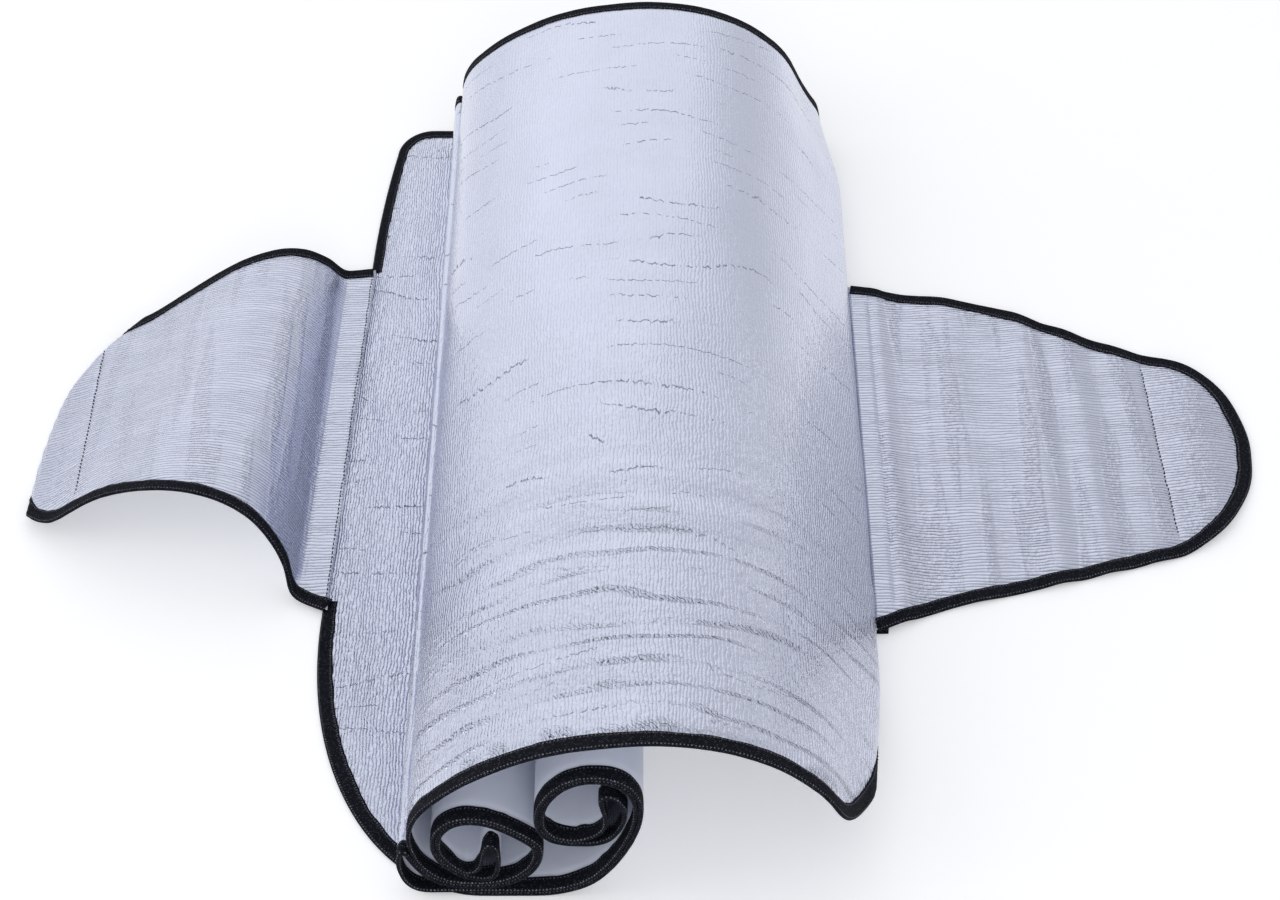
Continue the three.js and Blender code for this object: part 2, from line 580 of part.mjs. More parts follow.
export default shade;
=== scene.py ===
"""Windscreen sunshade of foil-faced foam with bound edges, folded, rolled and arched over on the floor."""

import logging
import math
from collections.abc import Callable, Sequence
from dataclasses import dataclass, field
from enum import Enum
from functools import reduce
from typing import Any

import bpy
import numpy as np
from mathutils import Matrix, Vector


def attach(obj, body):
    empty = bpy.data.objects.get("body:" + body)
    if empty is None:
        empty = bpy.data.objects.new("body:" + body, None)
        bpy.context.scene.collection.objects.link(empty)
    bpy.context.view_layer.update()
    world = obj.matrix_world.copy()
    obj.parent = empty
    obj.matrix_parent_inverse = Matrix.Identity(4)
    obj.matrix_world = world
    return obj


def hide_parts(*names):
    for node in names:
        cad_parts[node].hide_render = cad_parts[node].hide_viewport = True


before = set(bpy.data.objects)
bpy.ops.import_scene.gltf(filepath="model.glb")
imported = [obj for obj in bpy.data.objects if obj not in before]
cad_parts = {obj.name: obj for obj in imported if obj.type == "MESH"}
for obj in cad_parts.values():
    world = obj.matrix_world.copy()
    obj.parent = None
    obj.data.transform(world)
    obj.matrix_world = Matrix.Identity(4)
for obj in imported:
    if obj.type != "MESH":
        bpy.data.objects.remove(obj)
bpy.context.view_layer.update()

LOG = logging.getLogger("sunshade")
BODY = "root"
FLOOR = "studio_floor"
FLAT_MAP = "flat"
MM = 0.001
# Least height of a point of an ear over the floor, in mm.
LOWEST = 0.02
# Spacing at which a line is sampled to measure it, in mm.
FINE = 0.25
# Least length that is divided by.
TINY = 1e-9
Place = Callable[[np.ndarray, np.ndarray, np.ndarray], np.ndarray]
Points = Sequence[Sequence[float]]


def smooth(t: np.ndarray) -> np.ndarray:
    """Eases values from 0 to 1, and holds them there outside."""
    c = np.clip(t, 0.0, 1.0)
    return c * c * (3.0 - 2.0 * c)


def through_points(points: Points, step: float = 0.5) -> np.ndarray:
    """Runs a smooth curve through points.

    Args:
        points: The points, all with the same number of coordinates.
        step: The spacing of the samples, in the points' own unit.

    Returns:
        The samples, one row each.
    """
    pts = np.array(points, float)
    pts = np.vstack([2 * pts[0] - pts[1], pts, 2 * pts[-1] - pts[-2]])
    out = []
    for p0, p1, p2, p3 in zip(pts, pts[1:], pts[2:], pts[3:]):
        t1 = math.sqrt(np.linalg.norm(p1 - p0))
        t2 = t1 + math.sqrt(np.linalg.norm(p2 - p1))
        t3 = t2 + math.sqrt(np.linalg.norm(p3 - p2))
        count = max(2, math.ceil(np.linalg.norm(p2 - p1) / step))
        t = (t1 + (t2 - t1) * np.arange(count) / count)[:, None]
        a1 = ((t1 - t) * p0 + t * p1) / t1
        a2 = ((t2 - t) * p1 + (t - t1) * p2) / (t2 - t1)
        a3 = ((t3 - t) * p2 + (t - t2) * p3) / (t3 - t2)
        b1 = ((t2 - t) * a1 + t * a2) / t2
        b2 = ((t3 - t) * a2 + (t - t1) * a3) / (t3 - t1)
        out.append(((t2 - t) * b1 + (t - t1) * b2) / (t2 - t1))
    out.append(pts[-2][None, :])
    return np.vstack(out)


@dataclass
class SoftNoise:
    """Smooth seeded noise over a flat plan, from -1 to 1.

    Attributes:
        cell_u: Width of one noise cell, in mm.
        cell_v: Depth of one noise cell, in mm.
        seed: Seed of the random values.
        cells: Number of cells each way before the noise repeats.
    """

    cell_u: float
    cell_v: float
    seed: int
    cells: int = 256

    def __post_init__(self) -> None:
        """Draws the random values."""
        self.grid = np.random.default_rng(self.seed).uniform(-1.0, 1.0, (self.cells, self.cells))

    def at(self, u: np.ndarray, v: np.ndarray) -> np.ndarray:
        """Reads the noise.

        Args:
            u: Places across the plan, in mm.
            v: Places along the plan, in mm.

        Returns:
            The values, from -1 to 1.
        """
        a, b = u / self.cell_u, v / self.cell_v
        i, j = np.floor(a).astype(int), np.floor(b).astype(int)
        s, t = smooth(a - i), smooth(b - j)
        n = self.cells
        near = self.grid[i % n, j % n] * (1 - s) + self.grid[(i + 1) % n, j % n] * s
        far = self.grid[i % n, (j + 1) % n] * (1 - s) + self.grid[(i + 1) % n, (j + 1) % n] * s
        return near * (1 - t) + far * t


class Track:
    """A dense curve that is read by its own length."""

    def __init__(self, points: np.ndarray, start: float = 0.0) -> None:
        """Measures the curve.

        Args:
            points: The curve's points, two coordinates each.
            start: The length at the first point.
        """
        self.points = points
        steps = np.linalg.norm(np.diff(points, axis=0), axis=1)
        self.at = start + np.concatenate([[0.0], np.cumsum(steps)])
        self.end = float(self.at[-1])

    def read(self, s: np.ndarray) -> tuple[np.ndarray, np.ndarray]:
        """Gives both coordinates of the points at lengths along the curve."""
        return np.interp(s, self.at, self.points[:, 0]), np.interp(s, self.at, self.points[:, 1])

    def normal(self, s: np.ndarray, reach: float = 0.8) -> tuple[np.ndarray, np.ndarray]:
        """Gives the unit normal on the left of the curve.

        Args:
            s: Lengths along the curve.
            reach: Distance before and after over which the heading is taken.

        Returns:
            Both coordinates of the normals.
        """
        ax, ay = self.read(s - reach)
        bx, by = self.read(s + reach)
        size = np.hypot(bx - ax, by - ay)
        return -(by - ay) / size, (bx - ax) / size

    def stations(self, start: float, stop: float, turn: float, longest: float) -> np.ndarray:
        """Spaces lengths closely where the curve turns.

        Args:
            start: First length.
            stop: Last length.
            turn: Largest turn between two stations, in radians.
            longest: Largest distance between two stations.

        Returns:
            The lengths, rising.
        """
        s = np.arange(start, stop, FINE)
        nx, ny = self.normal(s)
        heading = np.unwrap(np.arctan2(ny, nx))
        cost = np.abs(np.diff(heading)) / turn + np.diff(s) / longest
        total = np.concatenate([[0.0], np.cumsum(cost)])
        count = max(2, math.ceil(total[-1]))
        return np.append(np.interp(np.linspace(0, total[-1], count + 1)[:-1], total, s), stop)


@dataclass
class RollSection:
    """The folded panel's mid surface seen from the front, in mm, as x and z.

    Attributes:
        thickness: Thickness of the foam sheet.
        layer_gap: Air between layers that lie on each other.
        tab: Sheet that reaches under each ear, past the bound edge line.
        right_return_from: X at which the right coil's inner layer starts back.
        right_return_to: X at which that layer, back on the strip, ends.
        left_return_from: X at which the left coil's inner layer starts back.
        left_return_short: Samples left off that layer's end, where it turns into the arch.
        knot_every: Samples from one knot of a coil to the next.
        knot_gap: Least distance between two knots of the whole line.
        outer_right: The strip on the floor and the right coil's outer layer.
        fold_right: The turn inside the right coil.
        fold_left: The turn under the arch's left foot.
        outer_left: The left coil's outer layer.
        fold_inner: The turn inside the left coil.
        arch: The arch, its right foot and the tab beside it.
    """

    thickness: float = 2.4
    layer_gap: float = 0.35
    tab: float = 17.0
    right_return_from: float = -29.0
    right_return_to: float = -100.0
    left_return_from: float = -87.0
    left_return_short: int = 4
    knot_every: int = 8
    knot_gap: float = 0.8
    outer_right: Points = (
        (-195, 1.2), (-178, 1.2), (-140, 1.2), (-100, 1.2), (-70, 1.2), (-52, 1.2),
        (-42, 2.2), (-30, 6.1), (-21.7, 11.7), (-15.7, 18.7), (-10.8, 26.2), (-5.8, 36.1),
        (-2.1, 45.7), (0, 54.4), (0.5, 63), (-1, 71.2), (-4.8, 78.2), (-11.2, 83.2),
        (-18, 85.3), (-24.8, 85.6), (-32.2, 83.7), (-39, 79.4), (-44.5, 73), (-48.1, 66),
        (-50, 58.7), (-49.8, 51.5), (-47.6, 45.7), (-43.4, 41.3), (-37, 39), (-29, 38.4),
        (-21.4, 38.9), (-15.3, 41.6), (-11, 46.8), (-8.2, 53), (-6.9, 58.7),
    )
    fold_right: Points = (
        (-7.4, 63.5), (-9.7, 68.5), (-13, 71.6), (-16.6, 71.9), (-18.6, 69), (-18.2, 64),
        (-17, 58.5), (-16.7, 53), (-18.4, 48), (-22.6, 44.2),
    )
    fold_left: Points = (
        (-107, 4.2), (-112, 6.4), (-115.6, 10.8), (-117.6, 16.5), (-118.4, 22.5),
        (-118, 28), (-116.6, 31.4), (-114.8, 31.2),
    )
    outer_left: Points = (
        (-113.2, 27.8), (-109.6, 20.8), (-104.2, 14), (-97.4, 9.4), (-89.5, 7), (-80, 6.7),
        (-73, 6.9), (-66, 8.8), (-59.5, 12.4), (-53.6, 17.8), (-49.6, 25), (-48.4, 32),
        (-49.6, 37.4), (-53.9, 42.2), (-59.2, 46.6), (-65.8, 51.2), (-73.4, 55),
        (-81.8, 56.6), (-89.5, 55.3), (-95.6, 51.2), (-99.7, 44.9), (-101.2, 38.3),
        (-100.4, 31), (-97.2, 24.4), (-92.8, 19.4), (-87.4, 15), (-81.8, 12.7),
    )
    fold_inner: Points = (
        (-76.6, 12.3), (-72.3, 13.8), (-70.2, 18), (-69.6, 26.5), (-70.6, 34.2),
        (-73.1, 37.4), (-75.7, 34.2), (-77.3, 26.8), (-79, 20.6), (-82.2, 17.6),
    )
    arch: Points = (
        (-112.2, 37), (-112.4, 44.5), (-110.4, 52.5), (-105.4, 61.6), (-96, 71.6),
        (-85.6, 80.4), (-74.6, 87.6), (-55.6, 97.6), (-37, 103.8), (-18.4, 107.2),
        (4.6, 109.2), (27.5, 107.3), (46, 102.5), (65, 93.4), (78.6, 83), (92.6, 68.5),
        (106, 51), (117.2, 35.6), (123.4, 26), (124.4, 18), (121.8, 10.4), (119.8, 6.2),
        (120.4, 2.6), (123.4, 1.2), (126, 1.2), (143, 1.2),
    )

    @property
    def ground(self) -> float:
        """Height of the mid surface of a layer on the floor."""
        return self.thickness / 2

    @property
    def pitch(self) -> float:
        """Distance from one layer's mid surface to the next."""
        return self.thickness + self.layer_gap

    def return_layer(self, curve: np.ndarray, reach: int = 3) -> np.ndarray:
        """Gives the layer inside a curve, on its left hand, run backwards.

        Args:
            curve: The outer layer's samples.
            reach: Samples before and after over which the heading is taken.

        Returns:
            The inner layer's samples.
        """
        n = len(curve)
        index = np.arange(n)
        a = curve[np.maximum(0, index - reach)]
        b = curve[np.minimum(n - 1, index + reach)]
        size = np.linalg.norm(b - a, axis=1)
        moved = curve.copy()
        moved[:, 0] -= self.pitch * (b - a)[:, 1] / size
        moved[:, 1] += self.pitch * (b - a)[:, 0] / size
        return moved[::-1]

    def line(self) -> Track:
        """Joins strip, coils, folds and arch into one line.

        Returns:
            The line, measured from the left edge line.
        """
        right = through_points(self.outer_right)
        turn = int(np.nonzero(right[:, 0] < self.right_return_from)[0][-1])
        back_right = self.return_layer(right[:turn])
        high = back_right[:, 1] > self.ground + 2 * self.pitch
        back_right = back_right[high | (back_right[:, 0] > self.right_return_to)]
        left = through_points(self.outer_left)
        turn = int(np.nonzero(left[:, 0] < self.left_return_from)[0][-1])
        back_left = self.return_layer(left[:turn])[:-self.left_return_short]
        nth = self.knot_every
        knots = np.vstack([
            right[::nth], self.fold_right, back_right[::nth], self.fold_left,
            left[::nth], self.fold_inner, back_left[::nth], self.arch,
        ])
        gaps = np.linalg.norm(np.diff(knots, axis=0), axis=1)
        spaced = knots[np.concatenate([[True], gaps > self.knot_gap])]
        return Track(through_points(spaced), -self.tab)


@dataclass
class Corner:
    """One rounded corner of the panel's plan, in mm.

    Attributes:
        reach: How far along the sheet the corner starts.
        depth: How far from the front or back edge it ends.
        taper: Length along the sheet of a further slope at the seam.
        taper_depth: Depth of that slope.
    """

    reach: float
    depth: float
    taper: float = 0.0
    taper_depth: float = 0.0


@dataclass
class FoldedPanel:
    """The long sheet of the shade: where each flat place of it lies in the room.

    Attributes:
        section: The fold line, seen from the front.
        height: The panel's height, which lies along Y.
        left_edge: X of the left bound edge line.
        seam_front: Distance of the left seam's front end from the front edge line.
        seam_back: Distance of its back end.
        seam_lead: How far the edge line overlaps the seam's front end and stops short of its back.
        askew: How much nearer the front the right seam lies than the left one.
        front_left: The front corner at the left seam.
        front_right: The front corner at the right seam.
        back: Both back corners.
        corner_steps: Points along one corner of an edge line.
        back_wider: Share by which the roll is wider at its back end.
        back_lower: Share by which it is lower there.
        widen_full: X, left of the middle, from which that widening is whole.
        strip_past_corner: How far past the corner the strip on the floor counts as such.
        curl_in: How far the arch's right foot curls in at its front end.
        curl_depth: Length of that curl along the roll.
        curl_reach: Length of sheet, before the right edge line, that curls in.
        curl_ramp: Length of sheet over which the curl sets in.
        back_curl_in: How far the foot curls in at its back end.
        back_curl_depth: Length of that curl along the roll.
        middle_x: X of the middle of the whole shade.
    """

    section: RollSection = field(default_factory=RollSection)
    height: float = 700.0
    left_edge: float = -178.0
    seam_front: float = 211.0
    seam_back: float = 527.0
    seam_lead: float = 1.0
    askew: float = 24.0
    front_left: Corner = field(default_factory=lambda: Corner(100.0, 193.0))
    front_right: Corner = field(default_factory=lambda: Corner(80.0, 169.0))
    back: Corner = field(default_factory=lambda: Corner(42.0, 34.0, 9.0, 132.0))
    corner_steps: int = 60
    back_wider: float = 0.10
    back_lower: float = 0.03
    widen_full: float = 125.0
    strip_past_corner: float = 60.0
    curl_in: float = 9.0
    curl_depth: float = 150.0
    curl_reach: float = 95.0
    curl_ramp: float = 60.0
    back_curl_in: float = 11.0
    back_curl_depth: float = 115.0
    middle_x: float = 5.38

    def __post_init__(self) -> None:
        """Measures the section line."""
        self.track = self.section.line()
        self.width = self.track.end - self.section.tab

    def place(self, u: np.ndarray, v: np.ndarray, w: np.ndarray) -> np.ndarray:
        """Puts flat places of the sheet where they lie.

        Args:
            u: Distances along the sheet from its left edge line, in mm.
            v: Distances from its front edge line, in mm.
            w: Heights over the mid surface, positive on the foil side, in mm.

        Returns:
            The points, in metres.
        """
        u, v, w = np.broadcast_arrays(u, v, w)
        x, z = self.track.read(u)
        nx, nz = self.track.normal(u)
        px = x + w * nx
        pz = np.maximum(z, self.section.ground) + w * nz
        t = v / self.height
        share = np.clip((px - self.left_edge) / (-self.widen_full - self.left_edge), 0, 1)
        share = np.where(u < self.front_left.reach + self.strip_past_corner, share, 1.0)
        foot = smooth((u - (self.width - self.curl_reach)) / self.curl_ramp)
        curl = self.curl_in * smooth(1 - v / self.curl_depth)
        curl = curl + self.back_curl_in * smooth(1 - (self.height - v) / self.back_curl_depth)
        px = px * (1 + self.back_wider * t * share) - curl * foot
        pz = np.maximum(pz * (1 - self.back_lower * t), 0.0)
        return np.stack([px - self.middle_x, v - self.height / 2, pz], -1) * MM

    def front_at(self, u: np.ndarray) -> np.ndarray:
        """Gives the front edge of the plan.

        Args:
            u: Places along the sheet, in mm.

        Returns:
            The edge's distances from the front edge line.
        """
        left = u < self.width / 2
        away = np.where(left, u, self.width - u)
        reach = np.where(left, self.front_left.reach, self.front_right.reach)
        r = np.clip(1 - away / reach, 0, 1)
        return self.front_left.depth * (1 - np.sqrt(1 - r * r))

    def back_at(self, u: np.ndarray) -> np.ndarray:
        """Gives the back edge of the plan.

        Args:
            u: Places along the sheet, in mm.

        Returns:
            The edge's distances from the front edge line.
        """
        c = self.back
        away = np.maximum(0.0, np.where(u < self.width / 2, u, self.width - u))
        side = self.height - c.depth - c.taper_depth
        slope = side + c.taper_depth * np.sqrt(np.minimum(away, c.taper) / c.taper)
        r = np.clip(1 - (away - c.taper) / (c.reach - c.taper), 0, 1)
        return np.where(away < c.taper, slope, self.height - c.depth * (1 - np.sqrt(1 - r * r)))

    def edge(self, front: bool) -> np.ndarray:
        """Follows the front or back edge of the plan from seam to seam.

        Args:
            front: Whether the front edge is wanted.

        Returns:
            Flat points, in mm.
        """
        seam = (self.seam_front if front else self.seam_back) - self.seam_lead
        edge = self.front_at if front else self.back_at
        reach_left = self.front_left.reach if front else self.back.reach
        reach_right = self.front_right.reach if front else self.back.reach
        bow = 1 - np.cos(np.linspace(0, math.pi / 2, self.corner_steps))
        left = reach_left * bow
        right = self.width - reach_right * bow[::-1]
        middle = np.arange(reach_left + 1, self.width - reach_right, 1.0)
        u = np.concatenate([left, middle, right])
        line = np.stack([u, edge(u)], -1)
        start, stop = np.array([[0.0, seam]]), np.array([[self.width, seam - self.askew]])
        return np.vstack([start, line, stop])


@dataclass
class EarPlan:
    """The flat outline of one ear: distance from the bound edge line, and Y, in mm.

    Attributes:
        front: The front edge, from the seam outwards.
        tip: The outermost point.
        back: The back edge, from the seam outwards.
    """

    front: Points
    tip: Sequence[float]
    back: Points

    def outline(self) -> np.ndarray:
        """Follows the outline from the front seam end round the tip to the back seam end."""
        return through_points([*self.front, self.tip, *self.back[::-1]], 1.0)


LEFT_PLAN = EarPlan(
    front=(
        (-12, 195), (-3, 199.5), (4, 203), (20, 212), (44, 225), (73, 234), (102, 241),
        (131, 247), (161, 253.5), (186, 258.5), (207, 265), (222, 277), (231.5, 300),
        (236, 330),
    ),
    tip=(238, 364),
    back=(
        (-12, 527.5), (-3, 527), (7.5, 525.5), (35, 519.5), (68, 513), (99, 501), (130, 483),
        (160, 464.5), (190, 448.5), (208, 439), (222, 426), (231, 410), (236, 389),
    ),
)
RIGHT_PLAN = EarPlan(
    front=(
        (-12, 177), (-3, 181), (4, 184.5), (20, 193), (44, 204.5), (73, 213.5), (102, 222),
        (131, 231), (161, 241), (186, 250.5), (209, 269.5), (225.5, 296), (233, 315), (236.5, 334),
    ),
    tip=(238, 353),
    back=(
        (-12, 509), (-3, 508.5), (7.5, 507), (35, 501.5), (68, 496), (99, 484.5), (130, 467),
        (160, 449), (190, 434), (208, 425), (222, 412), (231, 396), (236, 375),
    ),
)


class Side(Enum):
    """Which end of the panel an ear is sewn to."""

    LEFT = "left"
    RIGHT = "right"


@dataclass
class LeftLie:
    """How the left ear lies: it rises from the seam, arches over and turns its tip under.

    Attributes:
        guide_front_y: Y of the front guide.
        guide_back_y: Y of the back guide.
        ground: Height of the mid surface of a layer on the floor.
        front: The front guide as distance, x and z, as it would lie without the fold.
        back: The back guide.
        fold: Where the tip turns under, as Y and distance.
        probe: Distance before the fold from which its slope is taken.
        least_radius: Least radius of the fold.
    """

    guide_front_y: float = 235.0
    guide_back_y: float = 480.0
    ground: float = 1.2
    front: Points = (
        (-24, -154, 3.95), (0, -178, 3.95), (14, -192, 4.25), (19, -195.9, 6.8), (33, -200, 20),
        (48, -207.5, 33), (63, -217, 44), (78, -229.3, 51.6), (93, -243.2, 56),
        (109, -258.5, 57.4), (125, -274, 56), (141, -289, 52), (157, -303, 45.8),
        (170, -313.6, 38.6), (183, -323, 30), (195, -331, 21.4), (207, -339.5, 13.6),
        (214, -345.3, 10.4), (220, -350.6, 8.4), (230, -360, 6), (242, -371.5, 4),
    )
    back: Points = (
        (-24, -154, 3.95), (0, -178, 3.95), (14, -192, 4.25), (19, -196.2, 6.4),
        (33, -204, 17.6), (48, -215, 26.6), (63, -227.6, 31.2), (78, -241.8, 31.8),
        (93, -256.4, 29.8), (109, -271.8, 25.2), (125, -287, 19.4), (141, -302, 13.2),
        (150, -310.6, 9.8), (158, -318.4, 7.6), (170, -330.2, 5.4), (183, -343, 4.2),
        (199, -358.8, 3.6), (208, -367.6, 3.4), (220, -379.4, 3.2), (242, -401, 3),
    )
    fold: Points = (
        (190, 224), (285, 219), (345, 211), (390, 200), (425, 183), (469, 154), (520, 118),
        (560, 90),
    )
    probe: float = 2.0
    least_radius: float = 0.5

    def __post_init__(self) -> None:
        """Smooths the guides and the fold."""
        self.guides = through_points(self.front), through_points(self.back)
        self.fold_line = through_points(self.fold)

    def base(self, s: np.ndarray, v: np.ndarray) -> tuple[np.ndarray, np.ndarray]:
        """Lays the ear as it would lie without its fold.

        Args:
            s: Distances from the bound edge line, in mm.
            v: Distances along Y from the panel's front edge, in mm.

        Returns:
            X and z of the mid surface, in mm.
        """
        near, far = self.guides
        t = (v - self.guide_front_y) / (self.guide_back_y - self.guide_front_y)
        x = np.interp(s, near[:, 0], near[:, 1]) * (1 - t) + np.interp(s, far[:, 0], far[:, 1]) * t
        z = np.interp(s, near[:, 0], near[:, 2]) * (1 - t) + np.interp(s, far[:, 0], far[:, 2]) * t
        return x, np.maximum(z, self.ground)

    def mid(self, s: np.ndarray, v: np.ndarray) -> np.ndarray:
        """Lays the ear with its tip round the fold and back under it.

        Args:
            s: Distances from the bound edge line, in mm.
            v: Distances along Y from the panel's front edge, in mm.

        Returns:
            The mid surface's points, in mm.
        """
        fold = np.interp(v, self.fold_line[:, 0], self.fold_line[:, 1])
        past = np.maximum(0.0, s - fold)
        flat_x, flat_z = self.base(s, v)
        x0, z0 = self.base(fold - self.probe, v)
        x, z = self.base(fold, v)
        slope = np.maximum(0.0, np.arctan2(z0 - z, x0 - x))
        radius = np.maximum(self.least_radius, (z - self.ground) / (1 + np.cos(slope)))
        whole = math.pi - slope
        turned = slope + np.minimum(past / radius, whole)
        under = np.maximum(0.0, past - radius * whole)
        round_x = x - radius * (np.sin(turned) - np.sin(slope)) + under
        round_z = z - radius * (np.cos(slope) - np.cos(turned))
        px = np.where(past > 0, round_x, flat_x)
        pz = np.where(past > 0, round_z, flat_z)
        return np.stack([px, v, np.maximum(pz, self.ground)], -1)


@dataclass
class RightLie:
    """How the right ear lies: nearly flat on the floor, with soft waves across it.

    Attributes:
        edge_x: X of the bound edge line at the panel's front edge.
        back_wider: Share by which that line lies further out at the panel's back edge.
        height: The panel's height.
        ground: Height of the mid surface of a layer on the floor.
        calm: Share of the waves' height that is kept away from the seam.
        calm_from: Distance from the edge line past which the waves are calm.
        calm_ramp: Distance over which they calm down.
        waves: Height of the mid surface by distance, before it is calmed.
    """

    edge_x: float = 126.0
    back_wider: float = 0.10
    height: float = 700.0
    ground: float = 1.2
    calm: float = 0.5
    calm_from: float = 26.0
    calm_ramp: float = 8.0
    waves: Points = (
        (-24, 3.95), (0, 3.95), (16, 3.95), (24, 3.6), (34, 1.6), (46, 1.8), (62, 3.2),
        (78, 1.4), (96, 2.4), (110, 4.8), (124, 1.8), (138, 4.2), (152, 1.6), (168, 3.4),
        (184, 1.5), (197, 5.2), (210, 6.6), (222, 3.8), (232, 1.5), (240, 1.2),
    )

    def __post_init__(self) -> None:
        """Smooths the waves."""
        self.line = through_points(self.waves)

    def mid(self, s: np.ndarray, v: np.ndarray) -> np.ndarray:
        """Lays the ear in its soft waves.

        Args:
            s: Distances from the bound edge line, in mm.
            v: Distances along Y from the panel's front edge, in mm.

        Returns:
            The mid surface's points, in mm.
        """
        x = self.edge_x * (1 + self.back_wider * v / self.height) + s
        wave = np.interp(s, self.line[:, 0], self.line[:, 1]) - self.ground
        kept = self.calm + (1 - self.calm) * smooth((self.calm_from - s) / self.calm_ramp)
        z = self.ground + np.maximum(wave, 0) * kept
        return np.stack([x, v, z], -1)


@dataclass
class Ear:
    """One rounded flap of the same sheet, lapped over the panel's seam tab.

    Attributes:
        side: The end of the panel that it is sewn to.
        lap: Sheet that reaches in over the bound edge line, in mm.
        overrun: How far the ear's tape runs on over the panel's tape, in mm.
        middle_x: X of the middle of the whole shade, in mm.
        half_height: Half the panel's height, in mm.
        probe: Distance each way over which the sheet's slope is taken, in mm.
        flat: The ear's reach and the length of its seam, in mm.
        filled: Share of that rectangle which the rounded flap fills; not used.
    """

    side: Side
    lap: float
    overrun: float
    middle_x: float = 5.38
    half_height: float = 350.0
    probe: float = 0.7
    flat: tuple[float, float] = (240.0, 325.0)
    filled: float = 0.71

    def __post_init__(self) -> None:
        """Takes the lie that belongs to the side."""
        left = self.side is Side.LEFT
        self.plan = LEFT_PLAN if left else RIGHT_PLAN
        self.lie = LeftLie() if left else RightLie()
        self.up = -1.0 if left else 1.0

    def place(self, s: np.ndarray, v: np.ndarray, w: np.ndarray) -> np.ndarray:
        """Puts flat places of the ear where they lie.

        Args:
            s: Distances from the bound edge line, in mm.
            v: Distances along Y from the panel's front edge, in mm.
            w: Heights over the mid surface, positive on the foil side, in mm.

        Returns:
            The points, in metres.
        """
        s, v, w = np.broadcast_arrays(s, v, w)
        e = self.probe
        ds = self.lie.mid(s + e, v) - self.lie.mid(s - e, v)
        dv = self.lie.mid(s, v + e) - self.lie.mid(s, v - e)
        n = np.cross(ds, dv) * self.up
        n /= np.linalg.norm(n, axis=-1, keepdims=True)
        p = self.lie.mid(s, v) + w[..., None] * n
        p[..., 0] -= self.middle_x
        p[..., 1] -= self.half_height
        p[..., 2] = np.maximum(p[..., 2], LOWEST)
        return p * MM


def inset(line: np.ndarray, width: float, hand: float, sharpest: float = 0.7) -> np.ndarray:
    """Moves a flat line sideways.

    Args:
        line: Flat points.
        width: Distance to move.
        hand: 1 to move to its left, -1 to its right.
        sharpest: Least cosine of half a turn that is still mitred in full.

    Returns:
        The moved points.
    """
    step = np.diff(line, axis=0)
    step /= np.maximum(np.linalg.norm(step, axis=1, keepdims=True), TINY)
    before = np.vstack([step[:1], step])
    after = np.vstack([step, step[-1:]])
    along = before + after
    along /= np.maximum(np.linalg.norm(along, axis=1, keepdims=True), TINY)
    stretch = 1 / np.maximum(sharpest, (along * before).sum(1))
    side = np.stack([-along[:, 1], along[:, 0]], -1)
    return line + side * (hand * width * stretch)[:, None]


def distance(u: np.ndarray, v: np.ndarray, line: np.ndarray) -> np.ndarray:
    """Measures how far flat places lie from a line.

    Args:
        u: Flat places across.
        v: Flat places along.
        line: The line's points, close together.

    Returns:
        Each place's distance from the nearest point.
    """
    best = np.full(u.shape, np.inf)
    for x, y in line:
        np.minimum(best, (u - x) ** 2 + (v - y) ** 2, out=best)
    return np.sqrt(best)


